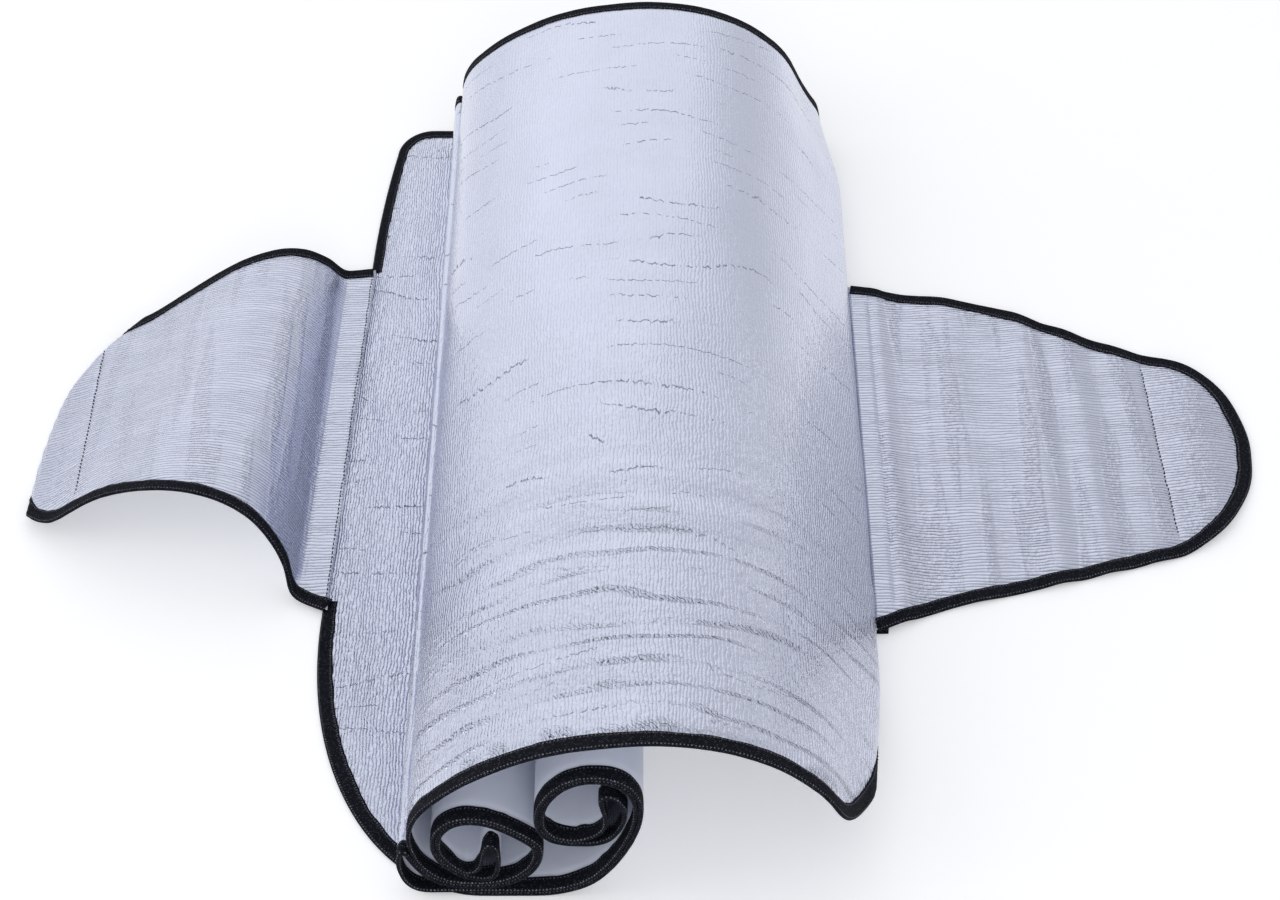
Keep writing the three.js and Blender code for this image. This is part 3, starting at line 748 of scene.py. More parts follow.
@dataclass
class Skin:
    """A mesh being put together from grids of flat places.

    Attributes:
        name: The piece's name.
        place: Puts flat places into the room.
        points: The vertices so far.
        flats: Their flat places, in metres.
        faces: The faces so far, as vertex numbers.
        slots: Their material slots.
        count: Number of vertices so far.
    """

    name: str
    place: Place
    points: list[np.ndarray] = field(default_factory=list)
    flats: list[np.ndarray] = field(default_factory=list)
    faces: list[np.ndarray] = field(default_factory=list)
    slots: list[np.ndarray] = field(default_factory=list)
    count: int = 0

    def add(self, u: np.ndarray, v: np.ndarray, w: np.ndarray) -> np.ndarray:
        """Adds vertices.

        Args:
            u: Flat places across.
            v: Flat places along.
            w: Heights over the mid surface.

        Returns:
            The vertices' numbers, in the shape of u.
        """
        u, v, w = np.broadcast_arrays(u, v, w)
        self.points.append(self.place(u, v, w).reshape(-1, 3))
        self.flats.append(np.stack([u, v], -1).reshape(-1, 2) * MM)
        numbers = self.count + np.arange(u.size).reshape(u.shape)
        self.count += u.size
        return numbers

    def quads(self, grid: np.ndarray, slot: int, turned: bool = False) -> None:
        """Fills a grid of vertex numbers with faces.

        Args:
            grid: Vertex numbers in rows and columns.
            slot: Material slot of the faces.
            turned: Whether the faces look the other way.
        """
        a, b, c, d = grid[:-1, :-1], grid[1:, :-1], grid[1:, 1:], grid[:-1, 1:]
        order = (a, d, c, b) if turned else (a, b, c, d)
        quads = np.stack([q.ravel() for q in order], -1)
        self.faces.append(quads)
        self.slots.append(np.full(len(quads), slot))

    def build(self, materials: Sequence[bpy.types.Material]) -> bpy.types.Object:
        """Makes the object.

        Args:
            materials: One material per slot.

        Returns:
            The finished piece, smooth shaded, with its flat map.
        """
        verts = np.vstack(self.points)
        quads = np.vstack(self.faces)
        mesh = bpy.data.meshes.new(self.name)
        mesh.vertices.add(len(verts))
        mesh.vertices.foreach_set("co", verts.ravel())
        mesh.loops.add(quads.size)
        mesh.loops.foreach_set("vertex_index", quads.ravel())
        mesh.polygons.add(len(quads))
        mesh.polygons.foreach_set("loop_start", np.arange(0, quads.size, 4))
        mesh.polygons.foreach_set("loop_total", np.full(len(quads), 4))
        mesh.polygons.foreach_set("material_index", np.concatenate(self.slots))
        mesh.polygons.foreach_set("use_smooth", np.ones(len(quads), bool))
        layer = mesh.uv_layers.new(name=FLAT_MAP)
        layer.data.foreach_set("uv", np.vstack(self.flats)[quads.ravel()].ravel())
        mesh.update()
        mesh.validate()
        for material in materials:
            mesh.materials.append(material)
        piece = bpy.data.objects.new(self.name, mesh)
        bpy.context.collection.objects.link(piece)
        return piece


class Value:
    """A shader socket that takes part in sums, so that shader maths reads as sums do."""

    def __init__(self, maker: "NodeMaker", socket: bpy.types.NodeSocket) -> None:
        """Keeps the socket and the tree it is in."""
        self.maker = maker
        self.socket = socket

    def _math(self, operation: str, *values: Any) -> "Value":
        """Adds a Math node on this value and others."""
        settings = {"operation": operation}
        return self.maker.value("ShaderNodeMath", settings, dict(enumerate(values)))

    def __add__(self, other: Any) -> "Value":
        """Adds."""
        return self._math("ADD", self, other)

    __radd__ = __add__

    def __mul__(self, other: Any) -> "Value":
        """Multiplies."""
        return self._math("MULTIPLY", self, other)

    __rmul__ = __mul__

    def __sub__(self, other: Any) -> "Value":
        """Takes away."""
        return self._math("SUBTRACT", self, other)

    def __rsub__(self, other: Any) -> "Value":
        """Is taken away."""
        return self._math("SUBTRACT", other, self)

    def __truediv__(self, other: Any) -> "Value":
        """Divides."""
        return self._math("DIVIDE", self, other)

    def __pow__(self, other: float) -> "Value":
        """Raises to a power."""
        return self._math("POWER", self, other)

    def __abs__(self) -> "Value":
        """Drops the sign."""
        return self._math("ABSOLUTE", self)

    def sine(self) -> "Value":
        """Takes the sine."""
        return self._math("SINE", self)

    def at_least(self, other: Any) -> "Value":
        """Takes the larger of two."""
        return self._math("MAXIMUM", self, other)

    def step(self, low: float, high: float) -> "Value":
        """Goes smoothly from 0 at one value to 1 at another.

        Args:
            low: Where it is still 0.
            high: Where it is 1.

        Returns:
            The eased value.
        """
        settings = {"interpolation_type": "SMOOTHSTEP"}
        places = {0: self, 1: low, 2: high, 3: 0.0, 4: 1.0}
        return self.maker.value("ShaderNodeMapRange", settings, places)


class NodeMaker:
    """Builds the nodes of one material."""

    def __init__(self, name: str) -> None:
        """Starts an empty material.

        Args:
            name: The material's name.
        """
        self.material = bpy.data.materials.new(name)
        self.material.use_nodes = True
        self.tree = self.material.node_tree
        self.tree.nodes.clear()

    def node(self, kind: str, settings: dict[str, Any], inputs: dict[Any, Any]) -> bpy.types.Node:
        """Adds a node.

        Args:
            kind: The node's type.
            settings: Its settings, set first.
            inputs: Values or links by socket name or number.

        Returns:
            The node.
        """
        node = self.tree.nodes.new(kind)
        for key, setting in settings.items():
            setattr(node, key, setting)
        for key, given in inputs.items():
            socket = node.inputs[key]
            if isinstance(given, Value):
                self.tree.links.new(given.socket, socket)
            elif isinstance(given, bpy.types.NodeSocket):
                self.tree.links.new(given, socket)
            else:
                socket.default_value = given
        return node

    def value(self, kind: str, settings: dict[str, Any], inputs: dict[Any, Any]) -> Value:
        """Adds a node and gives its first output as a value."""
        return Value(self, self.node(kind, settings, inputs).outputs[0])

    def flat(self) -> bpy.types.NodeSocket:
        """Gives the piece's flat map, in metres."""
        return self.node("ShaderNodeUVMap", {"uv_map": FLAT_MAP}, {}).outputs[0]

    def split(self, place: bpy.types.NodeSocket) -> tuple[Value, Value]:
        """Gives both parts of a flat place."""
        parts = self.node("ShaderNodeSeparateXYZ", {}, {0: place}).outputs
        return Value(self, parts[0]), Value(self, parts[1])

    def stretched(self, source: bpy.types.NodeSocket, across: float,
                  along: float) -> bpy.types.NodeSocket:
        """Scales a flat place.

        Args:
            source: The place.
            across: Pattern cells in a metre of u.
            along: Pattern cells in a metre of v.

        Returns:
            The scaled place.
        """
        inputs = {"Vector": source, "Scale": (across, along, 1.0)}
        return self.node("ShaderNodeMapping", {}, inputs).outputs[0]

    def noise(self, place: bpy.types.NodeSocket, detail: float = 2.0, rough: float = 0.5) -> Value:
        """Reads a noise.

        Args:
            place: The scaled flat place.
            detail: How many finer layers it has.
            rough: Strength of each finer layer.

        Returns:
            The noise, about 0 to 1.
        """
        inputs = {"Vector": place, "Scale": 1.0, "Detail": detail, "Roughness": rough}
        return self.value("ShaderNodeTexNoise", {"noise_dimensions": "2D"}, inputs)

    def wandering(self, place: bpy.types.NodeSocket, cells: float,
                  reach: float) -> bpy.types.NodeSocket:
        """Makes a place wander, so that what follows it isn't straight.

        Args:
            place: The flat place.
            cells: Cells of the wandering in a metre.
            reach: How far it moves, in metres.

        Returns:
            The moved place.
        """
        source = self.stretched(place, cells, cells)
        drift = self.node("ShaderNodeTexNoise", {"noise_dimensions": "2D"},
                          {"Vector": source, "Scale": 1.0, "Detail": 1.0}).outputs[1]
        half = self.node("ShaderNodeVectorMath", {"operation": "SUBTRACT"},
                         {0: drift, 1: (0.5, 0.5, 0.5)}).outputs[0]
        step = self.node("ShaderNodeVectorMath", {"operation": "SCALE"},
                         {0: half, "Scale": reach}).outputs[0]
        return self.node("ShaderNodeVectorMath", {"operation": "ADD"}, {0: place, 1: step}).outputs[0]

    def blend(self, factor: Value, first: Any, second: Any) -> bpy.types.NodeSocket:
        """Mixes two colours by a factor."""
        node = self.node("ShaderNodeMix", {"data_type": "RGBA"}, {0: factor, 6: first, 7: second})
        return node.outputs[2]

    def finish(self, inputs: dict[str, Any], height: Value, depth: float) -> bpy.types.Material:
        """Adds the shader with its bump and the output.

        Args:
            inputs: The shader's sockets.
            height: Relief, 0 to about 1.
            depth: Depth of the relief, in metres.

        Returns:
            The material.
        """
        bump = self.node("ShaderNodeBump", {}, {"Height": height, "Distance": depth, "Strength": 1.0})
        shader = self.node("ShaderNodeBsdfPrincipled", {}, {**inputs, "Normal": bump.outputs[0]})
        self.node("ShaderNodeOutputMaterial", {}, {"Surface": shader.outputs[0]})
        return self.material


class Grain(Enum):
    """Which way the foil's fine wrinkles run."""

    ALONG_V = "along the roll"
    ALONG_U = "away from the seam"


@dataclass(frozen=True)
class FoilFinish:
    """Silver foil film, embossed with fine ribs, with broken creases, cracks and crushed bands, whose
    shade is painted into the colour as darker foil.

    Attributes:
        name: The material's name.
        grain: Which way the ribs run.
        pitch: Distance between two ribs, in metres.
        wiggle: How far a rib wanders, in pitches.
        run: Length over which a rib wanders once, in metres.
        broken: Length of one crease between ribs, in metres.
        calm: Where along v the foil turns calm, from and to, in metres.
        strip: Where along u the lively foil of the flat strip ends, in metres.
        quiet: Strength of the ribs where the foil is calm.
        crack_pitch: Distance between two lines of cracks, in metres.
        crushed: Where the crushed bands lie: least u and largest v, in metres.
        band_pitch: Distance between two crushed bands, in metres.
        zigzag_pitch: Distance between two slanted crumples in a band, in metres.
        hem: Where along u the ear's tip past its sewn line turns rumpled, from and to, in metres.
        light: Colour of the foil.
        dark: Colour of the painted shade in a crease or crack.
        crease_painted_shade: How dark the painted shade in a crease between ribs is.
        crack_painted_shade: How dark the painted shade in a crack is.
        crushed_painted_shade: How dark the painted shade in a crumple in a band is.
        band_painted_shade: How dark the painted shade over a whole band is.
        patch_shade: How dark a dull patch is.
        metal: Share of the finish that is bare metal.
        rough: Least roughness, and how much more a dull patch has.
        depth: Depth of the relief, in metres.
    """

    name: str
    grain: Grain
    pitch: float = 0.0019
    wiggle: float = 0.9
    run: float = 0.0065
    broken: float = 0.009
    calm: tuple[float, float] = (0.2, 0.46)
    strip: float = 0.13
    quiet: float = 0.4
    crack_pitch: float = 0.021
    crushed: tuple[float, float] = (1.12, 0.25)
    band_pitch: float = 0.016
    zigzag_pitch: float = 0.0052
    hem: tuple[float, float] = (0.175, 0.2)
    light: tuple[float, ...] = (0.69, 0.72, 0.845, 1.0)
    dark: tuple[float, ...] = (0.10, 0.105, 0.15, 1.0)
    crease_painted_shade: float = 0.37
    crack_painted_shade: float = 0.72
    crushed_painted_shade: float = 1.0
    band_painted_shade: float = 0.13
    patch_shade: float = 0.06
    metal: float = 0.88
    rough: tuple[float, float] = (0.17, 0.12)
    depth: float = 0.0009

    @property
    def across(self) -> bool:
        """Tells whether the ribs run along v."""
        return self.grain is Grain.ALONG_V

    def _cells(self, m: NodeMaker, side: float, ahead: float) -> bpy.types.NodeSocket:
        """Scales the flat map by the size of a cell beside and along the ribs, in metres."""
        scale = (1 / side, 1 / ahead) if self.across else (1 / ahead, 1 / side)
        return m.stretched(m.flat(), *scale)

    def _life(self, m: NodeMaker, u: Value, v: Value) -> Value:
        """Gives how lively the panel's foil is.

        Args:
            m: The material's node maker.
            u: Places along the sheet, in metres.
            v: Places along the roll, in metres.

        Returns:
            The strength of the ribs, below 1 where calm and over 1 on the flat strip.
        """
        cloud = m.noise(m.stretched(m.flat(), 7.0, 9.0), 2.0) * 0.16 - 0.08
        near = 1.0 - (v + cloud).step(*self.calm)
        strip = 1.0 - u.step(self.strip, self.strip + 0.03)
        return (near * (1.0 - self.quiet) + self.quiet).at_least(strip * 1.4)

    def _cracks(self, m: NodeMaker, ahead: Value) -> Value:
        """Draws jagged dashes across the ribs, which dent the relief and get painted shade.

        Args:
            m: The material's node maker.
            ahead: Places along the ribs, in metres.

        Returns:
            The dashes, 1 on a dash.
        """
        drift = m.noise(self._cells(m, 0.11, 0.066), 1.0) * 2.2
        jolt = m.noise(self._cells(m, 0.0034, 0.016), 2.0, 0.65) * 0.3
        line = abs(((ahead / self.crack_pitch + drift + jolt) * math.pi).sine())
        where = m.noise(self._cells(m, 0.06, 0.02), 1.0).step(0.5, 0.62)
        dashes = m.noise(self._cells(m, 0.0032, 0.012), 1.0).step(0.4, 0.52)
        return (1.0 - line.step(0.0, 0.1)) * where * dashes * (ahead.step(0.1, 0.3) * 0.5 + 0.5)

    def _bands(self, m: NodeMaker, u: Value, v: Value) -> Value:
        """Draws the crushed bands and the crumples beside the tape, which shape the relief and get painted
        shade.

        Args:
            m: The material's node maker.
            u: Places along the sheet, in metres.
            v: Places along the roll, in metres.

        Returns:
            The bands, 1 in the middle of a band.
        """
        drift = m.noise(m.stretched(m.flat(), 9.0, 34.0), 2.0) * 0.026
        wave = ((v + drift) * (2 * math.pi / self.band_pitch)).sine()
        least, most = self.crushed
        place = u.step(least, least + 0.04) * (1.0 - v.step(most - 0.16, most))
        cloud = m.noise(m.stretched(m.flat(), 15.0, 60.0), 2.0).step(0.4, 0.6)
        rim = 1.0 - v.step(0.012, 0.02)
        rumpled = m.noise(m.stretched(m.flat(), 34.0, 20.0), 1.0).step(0.54, 0.62)
        bands = wave.step(0.5, 0.95) * place * (cloud * 0.85 + 0.15)
        return bands.at_least(rim * rumpled * place)

    def build(self) -> bpy.types.Material:
        """Makes the material.

        Returns:
            The material.
        """
        m = NodeMaker(self.name)
        u, v = m.split(m.flat())
        side, ahead = (u, v) if self.across else (v, u)
        wander = m.noise(self._cells(m, 0.0042, self.run), 1.5, 0.55) * self.wiggle
        sway = m.noise(self._cells(m, 0.03, 0.07), 1.0) * 2.4
        ribs = abs(((side / self.pitch + wander + sway) * math.pi).sine())
        whole = m.noise(self._cells(m, 0.0031, self.broken), 1.0).step(0.36, 0.52)
        dents = m.noise(m.stretched(m.flat(), 300.0, 240.0), 2.0, 0.6)
        patch = m.noise(m.stretched(m.flat(), 30.0, 30.0), 3.0)
        if self.across:
            life = self._life(m, u, v)
            # Painted shade: the creases between ribs darken the foil's colour.
            creases = (1.0 - ribs.step(0.0, 0.4)) * whole * life
            # The cracks dent the relief, and their shade is painted into the colour.
            cracks = self._cracks(m, ahead)
            bands = self._bands(m, u, v)
            lean = m.noise(m.stretched(m.flat(), 120.0, 150.0), 1.0)
            slant = (u + v * 0.8) * (2 * math.pi / self.zigzag_pitch)
            zigzag = (slant + lean * 9.0 + dents * 5.0).sine()
            # The crumples and bands are relief, and their shade is painted into the colour as well.
            crushed = (1.0 - abs(zigzag).step(0.0, 0.42)) * bands
            # shade: the painted shade of creases, cracks, crumples and whole bands, which darkens the
            # colour.
            shade = creases * self.crease_painted_shade + cracks * self.crack_painted_shade
            shade = shade + crushed * self.crushed_painted_shade + bands * self.band_painted_shade
            height = ribs * life * 0.24 + dents * (life * 0.5 + bands * 0.6) - cracks * 0.6
            height = height + zigzag * bands * 0.3
        else:
            # Painted shade: the ear's creases between ribs darken the colour, more where the foil is
            # rumpled, and the rumples darken it a little as well.
            creases = (1.0 - ribs.step(0.0, 0.62)) * (whole * 0.3 + 0.7)
            rumple = m.noise(self._cells(m, 0.16, 0.012), 1.5).step(0.46, 0.64)
            rumple = rumple.at_least(u.step(*self.hem) * 0.8)
            shade = creases * (rumple * 0.3 + 0.36) + rumple * 0.03
            height = ribs * 0.25 + dents * (rumple * 0.6 + 0.15)
        # The colour goes from the foil's own towards the dark colour by the painted shade, and by the dull
        # patches' own tone.
        colour = m.blend(shade + patch * self.patch_shade, self.light, self.dark)
        least, more = self.rough
        inputs = {"Base Color": colour, "Metallic": self.metal, "Roughness": patch * more + least}
        return m.finish(inputs, height, self.depth)


@dataclass(frozen=True)
class BackingFinish:
    """Smooth pale blue-white film on the inside of the sheet.

    Attributes:
        name: The material's name.
        light: Colour of its palest clouds.
        dark: Colour of its darkest clouds.
        depth: Depth of the relief, in metres.
    """

    name: str
    light: tuple[float, ...] = (0.83, 0.86, 0.95, 1.0)
    dark: tuple[float, ...] = (0.76, 0.79, 0.9, 1.0)
    depth: float = 0.00025

    def build(self) -> bpy.types.Material:
        """Makes the material.

        Returns:
            The material.
        """
        m = NodeMaker(self.name)
        flat = m.flat()
        cloud = m.noise(m.stretched(flat, 18.0, 9.0), 3.0)
        fine = m.noise(m.stretched(flat, 900.0, 900.0), 2.0)
        colour = m.blend(cloud, self.dark, self.light)
        inputs = {"Base Color": colour, "Metallic": 0.0, "Roughness": cloud * 0.12 + 0.42}
        return m.finish(inputs, cloud * 0.6 + fine * 0.2, self.depth)


@dataclass(frozen=True)
class TapeFinish:
    """Black woven binding tape: slanted twill with rows of pale dots beside the fold and edges.

    Attributes:
        name: The material's name.
        yarn: Distance between two yarns, in metres.
        black: Colour deep in the weave.
        grey: Colour of the yarns.
        fleck: Colour of the dots.
        rows: Places of the rows of dots round the tape, in metres.
        dot_pitch: Distance between two dots of a row, in metres.
        dot_half: Half a dot's width, to where it is whole and to where it ends, in metres.
        depth: Depth of the relief, in metres.
    """

    name: str
    yarn: float = 0.0013
    black: tuple[float, ...] = (0.002, 0.0025, 0.005, 1.0)
    grey: tuple[float, ...] = (0.015, 0.0165, 0.025, 1.0)
    fleck: tuple[float, ...] = (0.24, 0.25, 0.28, 1.0)
    rows: tuple[float, ...] = (0.0013, 0.0082, 0.0107, 0.0176)
    dot_pitch: float = 0.0018
    dot_half: tuple[float, float] = (0.0002, 0.00042)
    depth: float = 0.0003

    def build(self) -> bpy.types.Material:
        """Makes the material.

        Returns:
            The material.
        """
        m = NodeMaker(self.name)
        flat = m.wandering(m.flat(), 300.0, 0.0005)
        turn = 2 * math.pi / self.yarn
        u, v = m.split(flat)
        twill = ((u + v) * turn).sine() * 0.5 + 0.5
        weft = ((u - v) * turn).sine() * 0.5 + 0.5
        cover = m.noise(m.stretched(flat, 110.0, 110.0), 3.0)
        lint = m.noise(m.stretched(flat, 620.0, 620.0), 1.0).step(0.5, 0.72)
        dots = (u * (2 * math.pi / self.dot_pitch)).sine().step(0.1, 0.6)
        rows = reduce(Value.at_least, [1.0 - abs(v - row).step(*self.dot_half) for row in self.rows])
        flecks = ((twill * weft) ** 4.0 * lint).at_least(dots * rows * (lint * 0.5 + 0.5))
        cloth = m.blend(twill * cover * 1.4, self.black, self.grey)
        colour = m.blend(flecks, cloth, self.fleck)
        inputs = {"Base Color": colour, "Roughness": cover * 0.2 + 0.72,
                  "Specular IOR Level": 0.08}
        return m.finish(inputs, twill * 0.5 + weft * 0.4 + cover * 0.4, self.depth)


@dataclass(frozen=True)
class ThreadFinish:
    """Spun sewing thread.

    Attributes:
        name: The material's name.
        base: Colour between its plies.
        tip: Colour on its plies.
        grain: Cells of its plies in a metre.
        depth: Depth of the relief, in metres.
    """

    name: str
    base: tuple[float, ...]
    tip: tuple[float, ...]
    grain: float = 2600.0
    depth: float = 0.0001

    def build(self) -> bpy.types.Material:
        """Makes the material.

        Returns:
            The material.
        """
        m = NodeMaker(self.name)
        place = m.node("ShaderNodeTexCoord", {}, {}).outputs["Object"]
        ply = m.value("ShaderNodeTexNoise", {}, {"Vector": place, "Scale": self.grain, "Detail": 2.0})
        inputs = {"Base Color": m.blend(ply, self.base, self.tip), "Roughness": ply * 0.2 + 0.6}
        return m.finish(inputs, ply, self.depth)


@dataclass(frozen=True)
class FloorFinish:
    """Plain pale floor that shows white to the camera and in the foil, and keeps the shadow.

    Attributes:
        name: The material's name.
        colour: Colour of its palest clouds.
        cloudy: How dark its darkest clouds are beside them.
        lift: Glow that is seen by the camera and in mirroring surfaces, and lights nothing.
    """

    name: str = FLOOR
    colour: tuple[float, ...] = (0.955, 0.955, 0.958)
    cloudy: float = 0.985
    lift: float = 0.29

    def build(self) -> bpy.types.Material:
        """Makes the material.

        Returns:
            The material.
        """
        m = NodeMaker(self.name)
        place = m.node("ShaderNodeTexCoord", {}, {}).outputs["Object"]
        cloud = m.value("ShaderNodeTexNoise", {}, {"Vector": place, "Scale": 3.0, "Detail": 2.0})
        tint = m.blend(cloud, (*self.colour, 1.0), (*(c * self.cloudy for c in self.colour), 1.0))
        rays = m.node("ShaderNodeLightPath", {}, {}).outputs
        mirrored = Value(m, rays["Is Glossy Ray"]) + Value(m, rays["Is Transmission Ray"])
        seen = Value(m, rays["Is Camera Ray"]) + mirrored
        glow = m.blend(seen, (0.0, 0.0, 0.0, 1.0), (self.lift, self.lift, self.lift, 1.0))
        inputs = {"Base Color": tint, "Roughness": cloud * 0.1 + 0.75, "Emission Color": glow,
                  "Emission Strength": 1.0}
        return m.finish(inputs, cloud, 0.0)


@dataclass
class Finishes:
    """All finishes of the shade."""

    panel_foil: bpy.types.Material
    ear_foil: bpy.types.Material
    backing: bpy.types.Material
    tape: bpy.types.Material
    thread: bpy.types.Material


@dataclass
class SheetMaker:
    """Builds the foam sheet of the panel and of the ears, foil outside and backing inside.

    Attributes:
        half: Half the sheet's thickness, in mm.
        squeezed: Half its thickness inside the tape.
        binding: How far the edge tape reaches in.
        hidden: How far the sheet reaches into the tape from the tape's inner edge.
        swell: Distance over which it swells up beside the tape.
    """

    half: float = 1.15
    squeezed: float = 0.5
    binding: float = 9.0
    hidden: float = 7.2
    swell: float = 5.0

    def thickness(self, depth: np.ndarray) -> np.ndarray:
        """Gives the half thickness by the distance from the outer edge."""
        free = smooth((depth - self.binding + 1.0) / self.swell)
        return self.squeezed + (self.half - self.squeezed) * free


@dataclass
class PanelSheet:
    """The panel's foam sheet as one piece.

    Attributes:
        panel: The folded panel.
        maker: What all sheets have in common.
        rows: Rows of vertices from the front edge to the back edge.
        turn: Largest turn of the sheet between two columns, in radians.
        longest: Largest distance between two columns, in mm.
        tab_columns: Columns on the tab at each seam.
        seam_clear: Distance of the tab's ends from the seam's ends, in mm.
        free_arch: Length of sheet before the right edge line that lies free of the coils, in mm.
        free_strip: Length of the strip past the left edge line that lies free, in mm.
        free_ramp: Length over which the relief sets in there, in mm.
        crush: Height of the crush waves, in mm.
        crush_pitch: Distance from one crush wave to the next, in mm.
        crush_back: Where along Y the crush waves end, and over which length they fade, in mm.
        crush_front: Where they start, and over which length they grow, in mm.
        beside_tape: Distance from the tape over which the relief grows, in mm.
        name: The piece's name.
    """

    panel: FoldedPanel
    maker: SheetMaker
    rows: int = 118
    turn: float = math.radians(11.0)
    longest: float = 4.2
    tab_columns: int = 6
    seam_clear: float = 10.0
    free_arch: float = 330.0
    free_strip: float = 95.0
    free_ramp: float = 40.0
    crush: float = 0.85
    crush_pitch: float = 10.5
    crush_back: tuple[float, float] = (300.0, 110.0)
    crush_front: tuple[float, float] = (12.0, 20.0)
    beside_tape: float = 25.0
    name: str = "shade_panel_sheet"

    def relief(self, u: np.ndarray, v: np.ndarray) -> np.ndarray:
        """Gives the soft hollows and crush waves of the sheet where it lies free.

        Args:
            u: Distances along the sheet, in mm.
            v: Distances from its front edge line, in mm.

        Returns:
            Heights, in mm.
        """
        arch = smooth((u - (self.panel.width - self.free_arch)) / self.free_ramp)
        free = arch + smooth((self.free_strip - u) / self.free_ramp)
        broad = SoftNoise(70, 95, 3).at(u, v) * 0.45 + SoftNoise(24, 38, 4).at(u, v) * 0.2
        sway = 5 * SoftNoise(60, 60, 6).at(u, v)
        waves = SoftNoise(400, self.crush_pitch, 5).at(u, v + sway)
        back, fade = self.crush_back
        front, grow = self.crush_front
        low = smooth((back - v) / fade) * smooth((v - front) / grow)
        return (broad + waves * low * arch * self.crush) * free

    def build(self, finishes: Finishes) -> bpy.types.Object:
        """Makes the piece.

        Args:
            finishes: The shade's finishes.

        Returns:
            The finished sheet.
        """
        p, maker = self.panel, self.maker
        margin = maker.binding - maker.hidden
        skin = Skin(self.name, p.place)
        u = p.track.stations(margin, p.width - margin, self.turn, self.longest)
        front = self._limit(u, p.edge(True), margin, 1.0)
        back = self._limit(u, p.edge(False), margin, -1.0)
        n = self.tab_columns
        outer = np.linspace(-p.section.tab, margin - 0.5, n)
        near, far = p.seam_front + self.seam_clear, p.seam_back - self.seam_clear
        u = np.concatenate([outer, u, p.width - outer[::-1]])
        front = np.concatenate([np.full(n, near), front, np.full(n, near - p.askew)])
        back = np.concatenate([np.full(n, far), back, np.full(n, far - p.askew)])
        t = self._rows()
        uu = np.repeat(u[:, None], len(t), 1)
        vv = front[:, None] * (1 - t) + back[:, None] * t
        depth = distance(uu, vv, np.vstack([p.edge(True), p.edge(False)]))
        half = maker.thickness(depth)
        relief = self.relief(uu, vv) * smooth((depth - maker.binding) / self.beside_tape)
        top = skin.add(uu, vv, half + relief)
        under = skin.add(uu, vv, -half + relief * 0.8)
        skin.quads(top, 0)
        skin.quads(under, 1, True)
        close_rim(skin, top, under)
        return skin.build([finishes.panel_foil, finishes.backing])

    def _rows(self) -> np.ndarray:
        """Spaces the rows closely at both edges, where the tape is.

        Returns:
            The rows' places, from 0 at the front edge to 1 at the back edge.
        """
        edge = np.array([0, 4, 7.5, 9, 10.5, 12.5, 15, 19]) / self.panel.height
        inner = np.linspace(edge[-1], 1 - edge[-1], self.rows - 2 * len(edge) + 2)
        return np.concatenate([edge[:-1], inner, 1 - edge[:-1][::-1]])

    @staticmethod
    def _limit(u: np.ndarray, edge: np.ndarray, margin: float, hand: float) -> np.ndarray:
        """Finds the sheet's own edge, which lies inside the tape.

        Args:
            u: Distances along the sheet, in mm.
            edge: The bound edge.
            margin: How far the sheet's edge lies inside it.
            hand: 1 where the sheet lies on the edge's left, -1 on its right.

        Returns:
            The sheet's edge at each distance.
        """
        line = inset(edge, margin, hand)
        order = np.argsort(line[:, 0], kind="stable")
        return np.interp(u, line[order, 0], line[order, 1])


def close_rim(skin: Skin, top: np.ndarray, under: np.ndarray) -> None:
    """Closes the four sides between a sheet's two faces.

    Args:
        skin: The mesh being made.
        top: Vertex numbers of the foil face.
        under: Vertex numbers of the backing face.
    """
    for face in (np.s_[:, 0], np.s_[:, -1], np.s_[0, :], np.s_[-1, :]):
        strip = np.stack([top[face], under[face]], -1)
        first_side = face in (np.s_[:, 0], np.s_[-1, :])
        skin.quads(strip, 1, turned=first_side)


